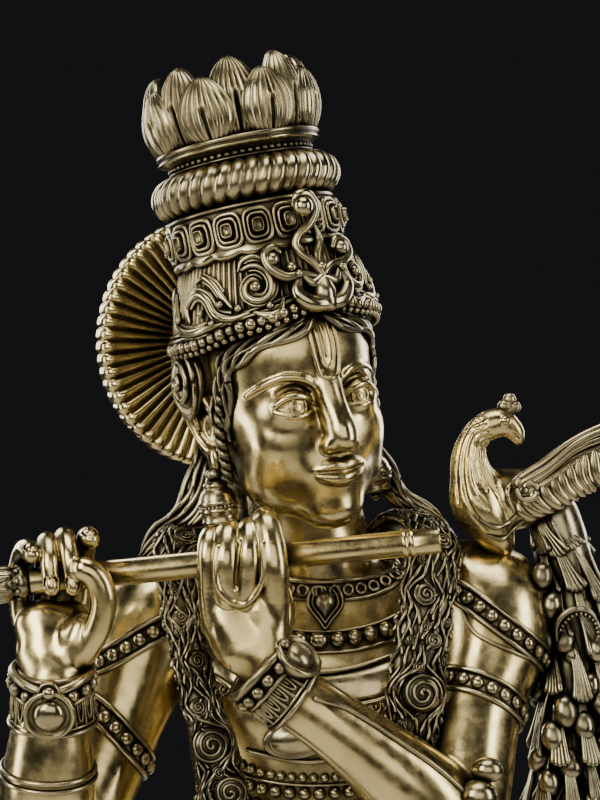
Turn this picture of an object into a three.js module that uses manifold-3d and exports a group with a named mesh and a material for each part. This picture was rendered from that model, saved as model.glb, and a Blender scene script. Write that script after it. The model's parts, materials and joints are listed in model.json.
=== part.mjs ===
// A brass statue of a flute-playing deity, 0.9 m tall, standing on a round lotus base with a peacock on
// the left shoulder. It is an assembly of separate castings that are pegged, bolted and soldered together.
// Millimetres, +Z up, figure facing -Y, origin at the centre of the base's underside.
import * as THREE from "three";
import { mergeVertices } from "three/addons/utils/BufferGeometryUtils.js";
import Module from "manifold-3d";

const wasm = await Module();
wasm.setup();

// Driving dimensions
const FACE = 82; // hairline to chin
const PLINTH_R = 1.36 * FACE;
const PLINTH_H = 28;
const LOTUS_H = 46;
const SOLE_Z = PLINTH_H + LOTUS_H;
const GAP = 0.35; // clearance between castings that touch
const BORE_GAP = 1.0; // radial room for the flute in the hands
const FLUTE_R = 5.6;
const HALO_PIN_R = 3;

// Joints of the body
const HEAD_CENTRE = [-14, -14, 744];
const SHOULDER_L = [77, 0, 654];
const ELBOW_L = [62, -52, 560];
const WRIST_L = [-15, -68, 623];
const SHOULDER_R = [-76, 0, 645];
const ELBOW_R = [-114, -36, 538];
const WRIST_R = [-113, -68, 622];
const FLUTE_RIGHT_END = [-150, -66, 665.8];
const FLUTE_LEFT_END = [50, -66, 686.1];
const HEAD_TURN = { yaw: 28, pitch: 5, roll: -10.5 };
const CROWN_LEAN = -7;

// Materials
const brass = (name, color, roughness) =>
  new THREE.MeshStandardMaterial({ name, color, roughness, metalness: 1 });
const POLISHED = brass("polished_brass", 0xc9a24e, 0.22);
const ANTIQUE = brass("antique_brass", 0x8a7748, 0.38);
const DARK = brass("dark_brass", 0x5c5034, 0.5);
const STEEL = new THREE.MeshStandardMaterial({
  name: "steel",
  color: 0x9a9a98,
  roughness: 0.4,
  metalness: 1,
});

// Frames: the head is turned and tilted, and the crown leans back from it.
const statue = new THREE.Group();
const head = new THREE.Group();
head.position.set(...HEAD_CENTRE);
const rad = THREE.MathUtils.degToRad;
head.rotation.set(rad(HEAD_TURN.pitch), rad(HEAD_TURN.roll), rad(HEAD_TURN.yaw), "YZX");
statue.add(head);
const crown = new THREE.Group();
crown.position.set(-2, 2, 55);
crown.rotation.x = rad(CROWN_LEAN);
head.add(crown);
statue.updateMatrixWorld(true);

// --- Shape makers. Each returns a function of an outward growth that gives a closed geometry. ---

const vec = (p) => new THREE.Vector3(...p);

// Turns a geometry made along +Z so that it lies along an axis, then moves it to a centre.
function aim(geometry, axis, centre) {
  const turn = new THREE.Quaternion().setFromUnitVectors(
    new THREE.Vector3(0, 0, 1),
    vec(axis).normalize(),
  );
  return geometry.applyQuaternion(turn).translate(...centre);
}

// An ellipsoid.
function ball(centre, radii, { wide = 12, high = 8 } = {}) {
  return (grow) =>
    new THREE.SphereGeometry(1, wide, high)
      .rotateX(Math.PI / 2)
      .scale(...radii.map((r) => r + grow))
      .translate(...centre);
}

// A tapering tube along a curve, with an elliptical section: radii holds one [across, deep] pair per point.
function limb(points, radii, { side = [1, 0, 0], sides = 10, steps = 6 } = {}) {
  return (grow) => {
    const path = new THREE.CatmullRomCurve3(points.map(vec));
    const size = new THREE.CatmullRomCurve3(radii.map(([a, b]) => new THREE.Vector3(a, b, 0)));
    const geometry = new THREE.CylinderGeometry(1, 1, 1, sides, steps);
    const at = geometry.attributes.position;
    for (let i = 0; i < at.count; i++) {
      const t = 0.5 - at.getY(i);
      const along = path.getTangent(t);
      const across = vec(side).addScaledVector(along, -vec(side).dot(along)).normalize();
      const deep = new THREE.Vector3().crossVectors(along, across);
      const r = size.getPoint(t);
      const place = path
        .getPoint(t)
        .addScaledVector(along, t === 0 ? -grow : t === 1 ? grow : 0)
        .addScaledVector(across, at.getX(i) * (r.x + grow))
        .addScaledVector(deep, at.getZ(i) * (r.y + grow));
      at.setXYZ(i, place.x, place.y, place.z);
    }
    return geometry;
  };
}

// A solid of revolution about an axis through a centre. profile holds [radius, height] points.
function turned(profile, { centre = [0, 0, 0], axis = [0, 0, 1], segments = 24 } = {}) {
  return (grow) => {
    const middle = profile.reduce((sum, [, z]) => sum + z, 0) / profile.length;
    const points = profile.map(
      ([r, z]) => new THREE.Vector2(r === 0 ? 0 : r + grow, z + Math.sign(z - middle) * grow),
    );
    return aim(new THREE.LatheGeometry(points, segments).rotateX(Math.PI / 2), axis, centre);
  };
}

// A straight rod between two points.
function rod(from, to, radius, segments = 10) {
  const length = vec(to).distanceTo(vec(from));
  const middle = vec(from).lerp(vec(to), 0.5).toArray();
  const axis = vec(to).sub(vec(from)).toArray();
  return (grow) =>
    aim(
      new THREE.CylinderGeometry(
        radius + grow,
        radius + grow,
        length + 2 * grow,
        segments,
      ).rotateX(Math.PI / 2),
      axis,
      middle,
    );
}

// A flat band round a limb: a ring of rectangular section. It grows outward only.
function band(centre, axis, inner, outer, width, segments = 16) {
  const half = width / 2;
  return (grow) => {
    const profile = [
      [inner, -half - grow],
      [outer + grow, -half - grow],
      [outer + grow, half + grow],
      [inner, half + grow],
      [inner, -half - grow],
    ].map(([r, z]) => new THREE.Vector2(r, z));
    return aim(new THREE.LatheGeometry(profile, segments).rotateX(Math.PI / 2), axis, centre);
  };
}

// An oval ring of round section, tilted forward.
function necklaceRing(centre, halfWidth, halfDepth, tube, tilt) {
  return (grow) =>
    new THREE.TorusGeometry(1, (tube + grow) / halfDepth, 6, 24)
      .scale(halfWidth, halfDepth, halfDepth)
      .rotateX(rad(tilt))
      .translate(...centre);
}

const within = (frame, shape) => (grow) => shape(grow).applyMatrix4(frame.matrixWorld);

// --- Solids ---

// A closed geometry as a manifold solid, with coincident vertices merged and collapsed faces dropped.
function solidOf(geometry) {
  const bare = new THREE.BufferGeometry();
  bare.setAttribute("position", geometry.attributes.position);
  if (geometry.index) bare.setIndex(geometry.index);
  const merged = mergeVertices(bare, 1e-3);
  const corners = [...merged.index.array];
  const faces = [];
  for (let i = 0; i < corners.length; i += 3) {
    const [a, b, c] = corners.slice(i, i + 3);
    if (a !== b && b !== c && c !== a) faces.push(a, b, c);
  }
  const make = (triVerts) =>
    new wasm.Manifold(
      new wasm.Mesh({ numProp: 3, vertProperties: merged.attributes.position.array, triVerts }),
    );
  const made = make(new Uint32Array(faces));
  return made.volume() < 0 ? make(new Uint32Array(faces.reverse())) : made;
}

const shapes = {};
const unite = (makers, grow) =>
  makers.map((make) => solidOf(make(grow))).reduce((all, one) => all.add(one));

// Adds one named casting: its makers joined, less its neighbours grown by the gap, less its holes.
function part(name, material, makers, { cutBy = [], holes = [], frame = statue } = {}) {
  shapes[name] = [makers].flat();
  let solid = unite(shapes[name], 0);
  for (const other of cutBy) solid = solid.subtract(unite(shapes[other], GAP));
  for (const hole of holes) solid = solid.subtract(solidOf(hole(0)));
  const [largest] = solid.decompose().sort((a, b) => b.volume() - a.volume());
  const { vertProperties, triVerts } = largest.simplify(0.02).getMesh();
  const geometry = new THREE.BufferGeometry()
    .setAttribute("position", new THREE.BufferAttribute(vertProperties, 3))
    .setIndex(new THREE.BufferAttribute(triVerts, 1))
    .applyMatrix4(frame.matrixWorld.clone().invert());
  geometry.computeVertexNormals();
  const mesh = new THREE.Mesh(geometry, material);
  mesh.name = name;
  frame.add(mesh);
}

// --- Base: plinth, double lotus, and the studs that hold the figure down ---

const STUDS = { left: [16, 4], right: [50, -18] };
for (const [which, [x, y]] of Object.entries(STUDS)) {
  part(`stud_${which}`, STEEL, rod([x, y, 4], [x, y, which === "left" ? 98 : 92], 3.2));
  part(`nut_${which}`, STEEL, rod([x, y, 5.5], [x, y, 12], 7, 6), { cutBy: [`stud_${which}`] });
}
const studNames = ["stud_left", "stud_right"];
const nutPockets = Object.values(STUDS).map(([x, y]) => rod([x, y, -2], [x, y, 14.6], 11, 16));

part(
  "plinth",
  ANTIQUE,
  turned(
    [
      [0, 0],
      [PLINTH_R, 0],
      [PLINTH_R, 7],
      [PLINTH_R - 5, 11],
      [PLINTH_R - 7, 18],
      [PLINTH_R - 3, 22],
      [PLINTH_R - 3, PLINTH_H - GAP],
      [0, PLINTH_H - GAP],
    ],
    { segments: 32 },
  ),
  { cutBy: studNames, holes: nutPockets },
);
const LOTUS_WAIST = PLINTH_H + LOTUS_H / 2;
part(
  "lotus_lower",
  ANTIQUE,
  turned(
    [
      [0, PLINTH_H],
      [PLINTH_R - 9, PLINTH_H],
      [PLINTH_R - 5, PLINTH_H + 5],
      [PLINTH_R - 8, PLINTH_H + 13],
      [PLINTH_R - 18, LOTUS_WAIST - GAP],
      [0, LOTUS_WAIST - GAP],
    ],
    { segments: 32 },
  ),
  { cutBy: studNames },
);
part(
  "lotus_upper",
  ANTIQUE,
  turned(
    [
      [0, LOTUS_WAIST],
      [PLINTH_R - 18, LOTUS_WAIST],
      [PLINTH_R - 9, LOTUS_WAIST + 8],
      [PLINTH_R - 6, LOTUS_WAIST + 16],
      [PLINTH_R - 10, SOLE_Z - GAP],
      [0, SOLE_Z - GAP],
    ],
    { segments: 32 },
  ),
  { cutBy: studNames },
);

// --- Legs and garment ---

part(
  "foot_left",
  POLISHED,
  limb(
    [
      [12, 21, 82],
      [14, 14, 86],
      [17, -4, 88],
      [22, -26, 80],
      [25, -40, 79],
    ],
    [
      [6, 6],
      [11, 12],
      [13, 12],
      [15, 7],
      [11, 5],
    ],
  ),
  { cutBy: ["lotus_upper", "stud_left"] },
);
part(
  "foot_right",
  POLISHED,
  limb(
    [
      [45, -8, 112],
      [48, -14, 100],
      [53, -24, 86],
      [57, -38, 80],
      [59, -47, 78],
    ],
    [
      [8, 9],
      [10, 11],
      [13, 9],
      [14, 6],
      [10, 4],
    ],
  ),
  { cutBy: ["lotus_upper", "stud_right"] },
);
part(
  "hips",
  ANTIQUE,
  limb(
    [
      [-1, 3, 494],
      [3, 4, 470],
      [4, 4, 440],
      [4, 3, 412],
      [4, 2, 398],
    ],
    [
      [41, 31],
      [50, 37],
      [57, 41],
      [50, 37],
      [30, 24],
    ],
    { sides: 16 },
  ),
);
part(
  "leg_right",
  ANTIQUE,
  limb(
    [
      [-20, 2, 440],
      [-10, -14, 350],
      [8, -34, 264],
      [28, -28, 188],
      [44, -12, 114],
    ],
    [
      [30, 32],
      [27, 28],
      [20, 21],
      [19, 20],
      [13, 14],
    ],
  ),
  { cutBy: ["hips", "foot_right", "stud_right"] },
);
part(
  "leg_left",
  ANTIQUE,
  limb(
    [
      [26, 4, 440],
      [28, 0, 350],
      [22, -2, 258],
      [20, 7, 180],
      [15, 7, 100],
    ],
    [
      [30, 32],
      [27, 29],
      [20, 21],
      [21, 22],
      [14, 15],
    ],
  ),
  { cutBy: ["hips", "leg_right", "foot_left", "stud_left"] },
);
part(
  "dhoti_pleats",
  ANTIQUE,
  limb(
    [
      [-4, -42, 480],
      [-14, -47, 390],
      [-24, -42, 290],
      [-28, -32, 190],
      [-26, -28, 112],
    ],
    [
      [13, 4],
      [17, 6],
      [21, 7],
      [25, 8],
      [30, 8],
    ],
    { steps: 10 },
  ),
  { cutBy: ["hips", "leg_right", "leg_left"] },
);
part(
  "hip_sash",
  DARK,
  limb(
    [
      [-56, -4, 476],
      [-40, -36, 446],
      [4, -60, 420],
      [48, -34, 446],
      [61, -4, 476],
    ],
    [
      [5, 5],
      [8, 7],
      [10, 8],
      [8, 7],
      [5, 5],
    ],
    { side: [0, 0, 1], steps: 12 },
  ),
  { cutBy: ["hips", "leg_right", "leg_left", "dhoti_pleats"] },
);
part(
  "sash_end_left",
  DARK,
  limb(
    [
      [64, -4, 472],
      [72, -8, 420],
      [70, -8, 340],
      [80, -6, 262],
    ],
    [
      [7, 4],
      [12, 4],
      [13, 4],
      [19, 4],
    ],
  ),
  { cutBy: ["hips", "leg_left", "hip_sash"] },
);
part(
  "sash_end_right",
  DARK,
  limb(
    [
      [-59, -4, 472],
      [-66, -8, 420],
      [-62, -8, 350],
      [-72, -6, 282],
    ],
    [
      [7, 4],
      [12, 4],
      [13, 4],
      [19, 4],
    ],
  ),
  { cutBy: ["hips", "leg_right", "hip_sash", "dhoti_pleats"] },
);

// --- Trunk, arms, hands and flute ---

const fluteFrom = vec(FLUTE_RIGHT_END);
const fluteAxis = vec(FLUTE_LEFT_END).sub(fluteFrom).normalize();
const onFlute = (distance) => fluteFrom.clone().addScaledVector(fluteAxis, distance).toArray();
const FLUTE_LENGTH = vec(FLUTE_LEFT_END).distanceTo(fluteFrom);
const fluteBore = rod(onFlute(-10), onFlute(FLUTE_LENGTH + 10), FLUTE_R + BORE_GAP, 16);

part(
  "torso",
  POLISHED,
  limb(
    [
      [-1, 3, 494.6],
      [-4, 2, 530],
      [-3, 2, 568],
      [-2, 2, 606],
      [0, 3, 640],
      [0, 4, 662],
      [-1, 4, 676],
    ],
    [
      [40, 30],
      [43, 31],
      [55, 36],
      [62, 38],
      [64, 34],
      [48, 26],
      [26, 21],
    ],
    { sides: 14, steps: 9 },
  ),
  { cutBy: ["hips"] },
);
part(
  "neck",
  POLISHED,
  limb(
    [
      [-1, 3, 668],
      [-5, -1, 688],
      [-9, -5, 712],
    ],
    [
      [23, 21],
      [20, 20],
      [21, 21],
    ],
    { steps: 4 },
  ),
  { cutBy: ["torso"] },
);
part("peacock_peg", STEEL, rod([82, 4, 662], [82, 4, 694], 3));
part(
  "upper_arm_left",
  POLISHED,
  limb(
    [
      [68, 2, 672],
      SHOULDER_L,
      [69, -22, 614],
      [64, -38, 586],
      [61, -50, 562],
    ],
    [
      [15, 14],
      [23, 24],
      [18.5, 20],
      [17, 17.5],
      [15, 15],
    ],
  ),
  { cutBy: ["torso", "peacock_peg"] },
);
part(
  "forearm_left",
  POLISHED,
  limb(
    [
      [66, -47, 552],
      ELBOW_L,
      [38, -60, 582],
      [6, -67, 608],
      WRIST_L,
    ],
    [
      [9, 9],
      [16, 16],
      [17, 17],
      [13, 13],
      [11, 10],
    ],
    { side: [0, 1, 0] },
  ),
  { cutBy: ["upper_arm_left", "torso"] },
);
part(
  "upper_arm_right",
  POLISHED,
  limb(
    [
      [-64, 2, 662],
      SHOULDER_R,
      [-88, -10, 608],
      [-100, -22, 574],
      ELBOW_R,
    ],
    [
      [15, 14],
      [22, 23],
      [19, 20],
      [17, 17],
      [15, 15],
    ],
  ),
  { cutBy: ["torso"] },
);
part(
  "forearm_right",
  POLISHED,
  limb(
    [
      [-115, -32, 530],
      [-116, -44, 546],
      [-115, -56, 580],
      WRIST_R,
    ],
    [
      [9, 9],
      [17, 17],
      [18, 18],
      [12, 11],
    ],
  ),
  { cutBy: ["upper_arm_right"] },
);

// Each finger is a short tube that wraps over the flute.
const finger = (x, lift, path, radius) =>
  limb(
    path.map(([y, z]) => [x, y, z + lift]),
    path.map((_, i) => (i === path.length - 1 ? [radius * 0.7, radius * 0.7] : [radius, radius])),
    { sides: 6, steps: 6 },
  );
const OVER_FROM_FRONT = [
  [-70, 656],
  [-76.5, 667],
  [-77, 680],
  [-68, 690],
  [-58, 687],
  [-54, 677],
];
const OVER_FROM_BEHIND = [
  [-56, 648],
  [-54, 664],
  [-57, 678],
  [-66, 683],
  [-75, 679],
  [-77, 667],
];
part(
  "hand_left",
  POLISHED,
  [
    limb(
      [
        [-17, -68, 626],
        [-28, -68, 642],
        [-35, -69, 662],
      ],
      [
        [11, 9],
        [15, 9],
        [17, 7],
      ],
      { steps: 4 },
    ),
    ...[-47, -39, -31, -23].map((x, i) => finger(x, [-1, 0, 0.5, 2][i], OVER_FROM_FRONT, 4.2)),
  ],
  { cutBy: ["forearm_left", "torso"], holes: [fluteBore] },
);
part(
  "hand_right",
  POLISHED,
  [
    limb(
      [
        [-113, -67, 626],
        [-113, -60, 640],
        [-113, -56, 658],
      ],
      [
        [12, 10],
        [15, 9],
        [17, 7],
      ],
      { steps: 4 },
    ),
    ...[-126, -118, -110, -102].map((x, i) => finger(x, [-1, 0, 0.5, 2][i], OVER_FROM_BEHIND, 4)),
    limb(
      [
        [-103, -66, 634],
        [-95, -72, 646],
        [-94, -77, 658],
        [-98, -78, 669],
      ],
      [
        [7, 6],
        [6, 5],
        [5, 4.5],
        [3.5, 3.5],
      ],
      { sides: 8, steps: 6 },
    ),
  ],
  { cutBy: ["forearm_right"], holes: [fluteBore] },
);
part("flute_tube", POLISHED, [
  rod(onFlute(27.4), onFlute(FLUTE_LENGTH), FLUTE_R, 16),
  rod(onFlute(FLUTE_LENGTH - 17), onFlute(FLUTE_LENGTH - 11), FLUTE_R + 0.6, 16),
]);
part(
  "flute_finial",
  ANTIQUE,
  turned(
    [
      [0, 0],
      [3, 3],
      [8.4, 15],
      [4, 21],
      [6.5, 24],
      [6.5, 27],
      [0, 27],
    ],
    { centre: onFlute(0), axis: fluteAxis.toArray(), segments: 12 },
  ),
);

// --- Arm and neck ornaments ---

part(
  "bracelet_left",
  ANTIQUE,
  band(WRIST_L, [0.72, 0.1, -0.69], 6, 17, 22),
  { cutBy: ["forearm_left", "hand_left"] },
);
part(
  "bracelet_right",
  ANTIQUE,
  band([-113, -65, 621], [0, -0.3, 1], 6, 17.5, 24),
  { cutBy: ["forearm_right", "hand_right"] },
);
part("armlet_left", ANTIQUE, band([69, -20, 613], [0.45, 0.5, 1], 9, 23, 11.5), {
  cutBy: ["upper_arm_left", "torso", "forearm_left"],
});
part("armlet_right", ANTIQUE, band([-91, -13, 599], [0.72, 0.25, 0.7], 9, 24, 11.5), {
  cutBy: ["upper_arm_right", "torso"],
});
part("shoulder_band_left", ANTIQUE, band([79, -3, 648], [0.85, 0.1, 1], 12, 27.5, 11), {
  cutBy: ["upper_arm_left", "torso", "armlet_left"],
});
part("shoulder_band_right", ANTIQUE, band([-79, -4, 635], [-0.5, 0.2, 1], 12, 26, 11), {
  cutBy: ["upper_arm_right", "torso", "armlet_right"],
});
part("waist_belt", ANTIQUE, necklaceRing([-1, 3, 492], 41, 31, 6, 0), {
  cutBy: ["torso", "hips", "dhoti_pleats"],
});

const STRAND = [12.5, 6.5];
part(
  "garland_strand_left",
  DARK,
  limb(
    [
      [18, 33, 672],
      [38, 12, 689],
      [49, -22, 682],
      [45, -38, 656],
      [40, -43.5, 616],
      [38, -42, 576],
      [37, -41, 520],
      [38, -50, 450],
      [35, -60, 386],
    ],
    [[8, 5], ...Array(7).fill(STRAND), STRAND],
    { sides: 8, steps: 20 },
  ),
  {
    cutBy: ["torso", "neck", "upper_arm_left", "forearm_left", "hips", "leg_left", "hip_sash", "waist_belt"],
  },
);
part(
  "garland_strand_right",
  DARK,
  limb(
    [
      [-16, 33, 672],
      [-46, 14, 686],
      [-61, -16, 681],
      [-59, -36, 656],
      [-52, -46, 622],
      [-42, -48, 592],
      [-44, -45, 548],
      [-42, -44, 500],
      [-42, -52, 440],
      [-35, -61, 386],
    ],
    [[8, 5], ...Array(8).fill(STRAND), STRAND],
    { sides: 8, steps: 20 },
  ),
  {
    cutBy: ["torso", "neck", "upper_arm_right", "hips", "leg_right", "hip_sash", "dhoti_pleats", "hand_left"],
  },
);
part(
  "garland_loop",
  DARK,
  limb(
    [
      [-35, -61, 385],
      [-26, -68, 330],
      [0, -72, 296],
      [25, -68, 330],
      [35, -60, 385],
    ],
    Array(5).fill(STRAND),
    { side: [1, 0, 0.01], sides: 8, steps: 14 },
  ),
  { cutBy: ["garland_strand_left", "garland_strand_right", "leg_right", "leg_left", "dhoti_pleats"] },
);
const chestNeighbours = ["torso", "neck", "garland_strand_left", "garland_strand_right"];
part(
  "necklace_upper",
  ANTIQUE,
  [necklaceRing([0, -1, 669], 34, 27, 3.2, 18), ball([1, -34, 652], [6.5, 6, 9])],
  { cutBy: chestNeighbours },
);
part("necklace_middle", ANTIQUE, necklaceRing([0, -4, 652], 46, 34, 3.6, 32), {
  cutBy: [...chestNeighbours, "necklace_upper"],
});
part("necklace_lower", ANTIQUE, necklaceRing([-1, -4, 634], 52, 37, 3.8, 36), {
  cutBy: [...chestNeighbours, "hand_left", "bracelet_left", "armlet_left"],
});

// --- Head, hair, crown, earrings and halo, in the head's own frame ---

const inHead = (shape) => within(head, shape);
const inCrown = (shape) => within(crown, shape);
const haloBore = inHead(rod([0, 26, 15], [0, 80, 15], HALO_PIN_R + GAP));
part(
  "head",
  POLISHED,
  [
    inHead(ball([0, 2, 2], [37, 42, 50])),
    inHead(ball([0, -18, -18], [29, 24, 36])),
    inHead(ball([0, -42, -10], [5, 8, 11], { wide: 8, high: 6 })),
    inHead(ball([37, 6, -8], [4.5, 8, 15], { wide: 8, high: 8 })),
    inHead(ball([-37, 6, -8], [4.5, 8, 15], { wide: 8, high: 8 })),
  ],
  { cutBy: ["neck"], holes: [haloBore] },
);
part(
  "hair_back",
  DARK,
  [
    inHead(ball([0, 12, 2], [40, 40, 44])),
    limb(
      [
        [-26, 24, 722],
        [-14, 34, 696],
        [-4, 38, 664],
        [-2, 38, 618],
      ],
      [
        [24, 12],
        [26, 11],
        [26, 8],
        [12, 4],
      ],
    ),
  ],
  {
    cutBy: ["head", "neck", "torso", "garland_strand_left", "garland_strand_right"],
    holes: [haloBore],
  },
);
part(
  "hair_lock_right",
  DARK,
  limb(
    [
      [-50, 4, 728],
      [-54, -1, 706],
      [-62, 0, 694],
      [-82, 6, 676],
    ],
    [
      [6, 6],
      [7, 7],
      [12, 6],
      [5, 4],
    ],
  ),
  { cutBy: ["head", "hair_back", "garland_strand_right", "upper_arm_right", "torso"] },
);
part(
  "hair_lock_left",
  DARK,
  limb(
    [
      [24, 22, 722],
      [34, 20, 704],
      [50, 16, 690],
      [66, 16, 678],
    ],
    [
      [6, 6],
      [7, 7],
      [9, 6],
      [5, 4],
    ],
  ),
  { cutBy: ["head", "hair_back", "neck", "garland_strand_left", "upper_arm_left", "torso"] },
);
part("hair_cap", ANTIQUE, inHead(turned(
  [
    [0, 24],
    [45, 24],
    [46, 32],
    [44, 48],
    [38, 66],
    [34, 72],
    [0, 72],
  ],
  { centre: [0, 4, 0] },
)), { cutBy: ["head", "hair_back"] });
part(
  "browband",
  ANTIQUE,
  [
    inHead(band([0, 3, 25], [0, 0, 1], 40, 48.5, 8, 24)),
    inHead(ball([45, 8, 14], [5, 11, 15], { wide: 8, high: 6 })),
    inHead(ball([-45, 8, 14], [5, 11, 15], { wide: 8, high: 6 })),
  ],
  { cutBy: ["head", "hair_cap", "hair_back"] },
);
part(
  "crest",
  ANTIQUE,
  inHead(
    limb(
      [
        [0, -47, 28],
        [0, -50, 44],
        [0, -44, 62],
        [0, -38, 76],
      ],
      [
        [11, 4],
        [17, 5],
        [12, 4],
        [4, 3],
      ],
      { sides: 10, steps: 6 },
    ),
  ),
  { cutBy: ["hair_cap", "browband"] },
);
const crownTier = (profile) => inCrown(turned(profile));
part("crown_band", ANTIQUE, crownTier([
  [0, 10],
  [34, 10],
  [39, 14],
  [40, 22],
  [37, 31],
  [0, 31],
]), { cutBy: ["hair_cap", "crest"] });
part("crown_ring", ANTIQUE, crownTier([
  [0, 31.5],
  [32, 31.5],
  [39, 35],
  [42, 41],
  [39, 47],
  [32, 50.5],
  [0, 50.5],
]), { cutBy: ["crown_band"] });
part("crown_lotus", ANTIQUE, crownTier([
  [0, 51],
  [31, 51],
  [31, 54],
  [35, 56],
  [33, 59],
  [38, 67],
  [40, 79],
  [38, 91],
  [34, 98],
  [28, 98],
  [28, 76],
  [0, 76],
]), { cutBy: ["crown_ring"] });
part("halo_disc", ANTIQUE, inHead(turned(
  [
    [0, -4],
    [50, -4],
    [57, -1],
    [57, 2],
    [50, 6],
    [20, 3],
    [0, 3],
  ],
  { centre: [0, 63, 28], axis: [0, 1, 0], segments: 32 },
)));
part("halo_pin", STEEL, inHead(rod([0, 28, 15], [0, 62, 15], HALO_PIN_R)), {
  cutBy: ["halo_disc"],
});

const earring = (x) => [
  inHead(ball([x, 4, -25.5], [3.4, 3.4, 3.4], { wide: 8, high: 6 })),
  inHead(
    turned(
      [
        [0, -45.5],
        [7.5, -45.5],
        [8, -39],
        [5, -33],
        [3, -27],
        [0, -27],
      ],
      { centre: [x, 4, 0], segments: 10 },
    ),
  ),
];
part("earring_right", ANTIQUE, earring(-39), {
  cutBy: ["head", "hair_back", "hair_lock_right", "neck", "garland_strand_right"],
});
part("earring_left", ANTIQUE, earring(39), {
  cutBy: ["head", "hair_back", "hair_lock_left", "neck", "garland_strand_left"],
});

// --- Peacock on the left shoulder, held by its peg ---

part(
  "peacock_body",
  POLISHED,
  limb(
    [
      [68, -10, 698],
      [77, -6, 695],
      [88, -1, 697],
      [108, 8, 708],
    ],
    [
      [7, 7],
      [12.5, 12],
      [13, 13],
      [5, 5],
    ],
    { side: [0, 1, 0] },
  ),
  { cutBy: ["peacock_peg", "upper_arm_left", "torso", "garland_strand_left", "shoulder_band_left"] },
);
part(
  "peacock_head",
  POLISHED,
  [
    limb(
      [
        [75, -7, 697],
        [69, -11, 708],
        [66, -13, 721],
        [71, -14, 732],
        [80, -15, 735.5],
        [90, -15, 728],
      ],
      [
        [9, 9],
        [8.3, 8],
        [5.8, 5.8],
        [5, 5],
        [5.6, 5.6],
        [1.5, 1.5],
      ],
      { side: [0, 1, 0], sides: 8, steps: 10 },
    ),
    limb(
      [
        [81, -14, 739],
        [84, -14, 744],
        [87, -14, 748],
      ],
      [
        [1.5, 2.5],
        [2, 5],
        [2, 4],
      ],
      { side: [0, 1, 0], sides: 6, steps: 3 },
    ),
  ],
  { cutBy: ["peacock_body", "peacock_peg"] },
);
part(
  "peacock_wing",
  ANTIQUE,
  limb(
    [
      [91, -13, 701],
      [104, -13, 710.5],
      [122, -12, 720],
      [147, -7, 729.5],
    ],
    [
      [4, 8],
      [4, 12],
      [4, 14],
      [3.5, 11],
    ],
    { side: [0, 1, 0] },
  ),
  { cutBy: ["peacock_body", "peacock_head"] },
);
part(
  "peacock_tail",
  DARK,
  limb(
    [
      [101, 2, 700],
      [111, 3, 688],
      [117, 0, 660],
      [116, -4, 620],
      [110, -8, 580],
      [104, -10, 540],
    ],
    [
      [9, 6],
      [12, 9],
      [15, 12],
      [16, 13],
      [15, 13],
      [11, 9],
    ],
    { side: [0, 1, 0], steps: 9 },
  ),
  {
    cutBy: [
      "peacock_body",
      "peacock_wing",
      "upper_arm_left",
      "forearm_left",
      "shoulder_band_left",
      "armlet_left",
    ],
  },
);

export default statue;
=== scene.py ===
"""Looks of the brass flute player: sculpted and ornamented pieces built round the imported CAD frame."""

import json
from math import cos, pi, radians, sin, tau

import bpy
import numpy as np
import openvdb
from mathutils import Euler, Matrix, Vector

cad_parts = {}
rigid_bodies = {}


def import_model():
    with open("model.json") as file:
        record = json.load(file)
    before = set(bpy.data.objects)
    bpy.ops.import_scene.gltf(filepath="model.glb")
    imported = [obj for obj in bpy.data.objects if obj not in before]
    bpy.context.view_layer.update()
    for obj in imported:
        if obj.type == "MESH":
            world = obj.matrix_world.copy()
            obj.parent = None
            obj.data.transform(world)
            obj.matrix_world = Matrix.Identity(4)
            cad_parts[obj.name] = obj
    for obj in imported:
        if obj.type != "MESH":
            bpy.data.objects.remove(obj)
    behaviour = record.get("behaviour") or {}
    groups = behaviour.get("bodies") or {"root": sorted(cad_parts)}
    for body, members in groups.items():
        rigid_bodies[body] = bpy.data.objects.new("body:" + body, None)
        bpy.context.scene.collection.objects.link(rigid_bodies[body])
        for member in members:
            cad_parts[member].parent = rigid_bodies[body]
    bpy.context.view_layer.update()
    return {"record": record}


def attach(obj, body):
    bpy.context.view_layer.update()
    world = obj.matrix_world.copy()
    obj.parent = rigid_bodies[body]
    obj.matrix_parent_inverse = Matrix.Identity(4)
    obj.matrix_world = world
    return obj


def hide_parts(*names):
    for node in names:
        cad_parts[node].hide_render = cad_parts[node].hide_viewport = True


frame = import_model()
MM = 0.001

# --- Camera, floor and light ---

EYE = Vector((-0.0089, -1.3, 0.745))
LENS_MM, SENSOR_MM = 132, 36
LIGHT_AIM = Vector((-0.01, 0, 0.66))


def make_camera():
    """A level portrait camera at the height of the face, close enough to frame chest to crown."""
    data = bpy.data.cameras.new("camera")
    data.lens = LENS_MM
    data.sensor_width = SENSOR_MM
    camera = bpy.data.objects.new("camera", data)
    camera.location = EYE
    camera.rotation_euler = (pi / 2, 0, 0)
    bpy.context.collection.objects.link(camera)
    bpy.context.scene.camera = camera


def softbox(name, place, size, power, colour=(1, 1, 1)):
    """A rectangular lamp that faces the chest."""
    data = bpy.data.lights.new(name, "AREA")
    data.shape = "RECTANGLE"
    data.size, data.size_y = size
    data.energy = power
    data.color = colour
    lamp = bpy.data.objects.new(name, data)
    lamp.location = place
    lamp.rotation_euler = (LIGHT_AIM - Vector(place)).to_track_quat("-Z", "Y").to_euler()
    bpy.context.collection.objects.link(lamp)


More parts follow.
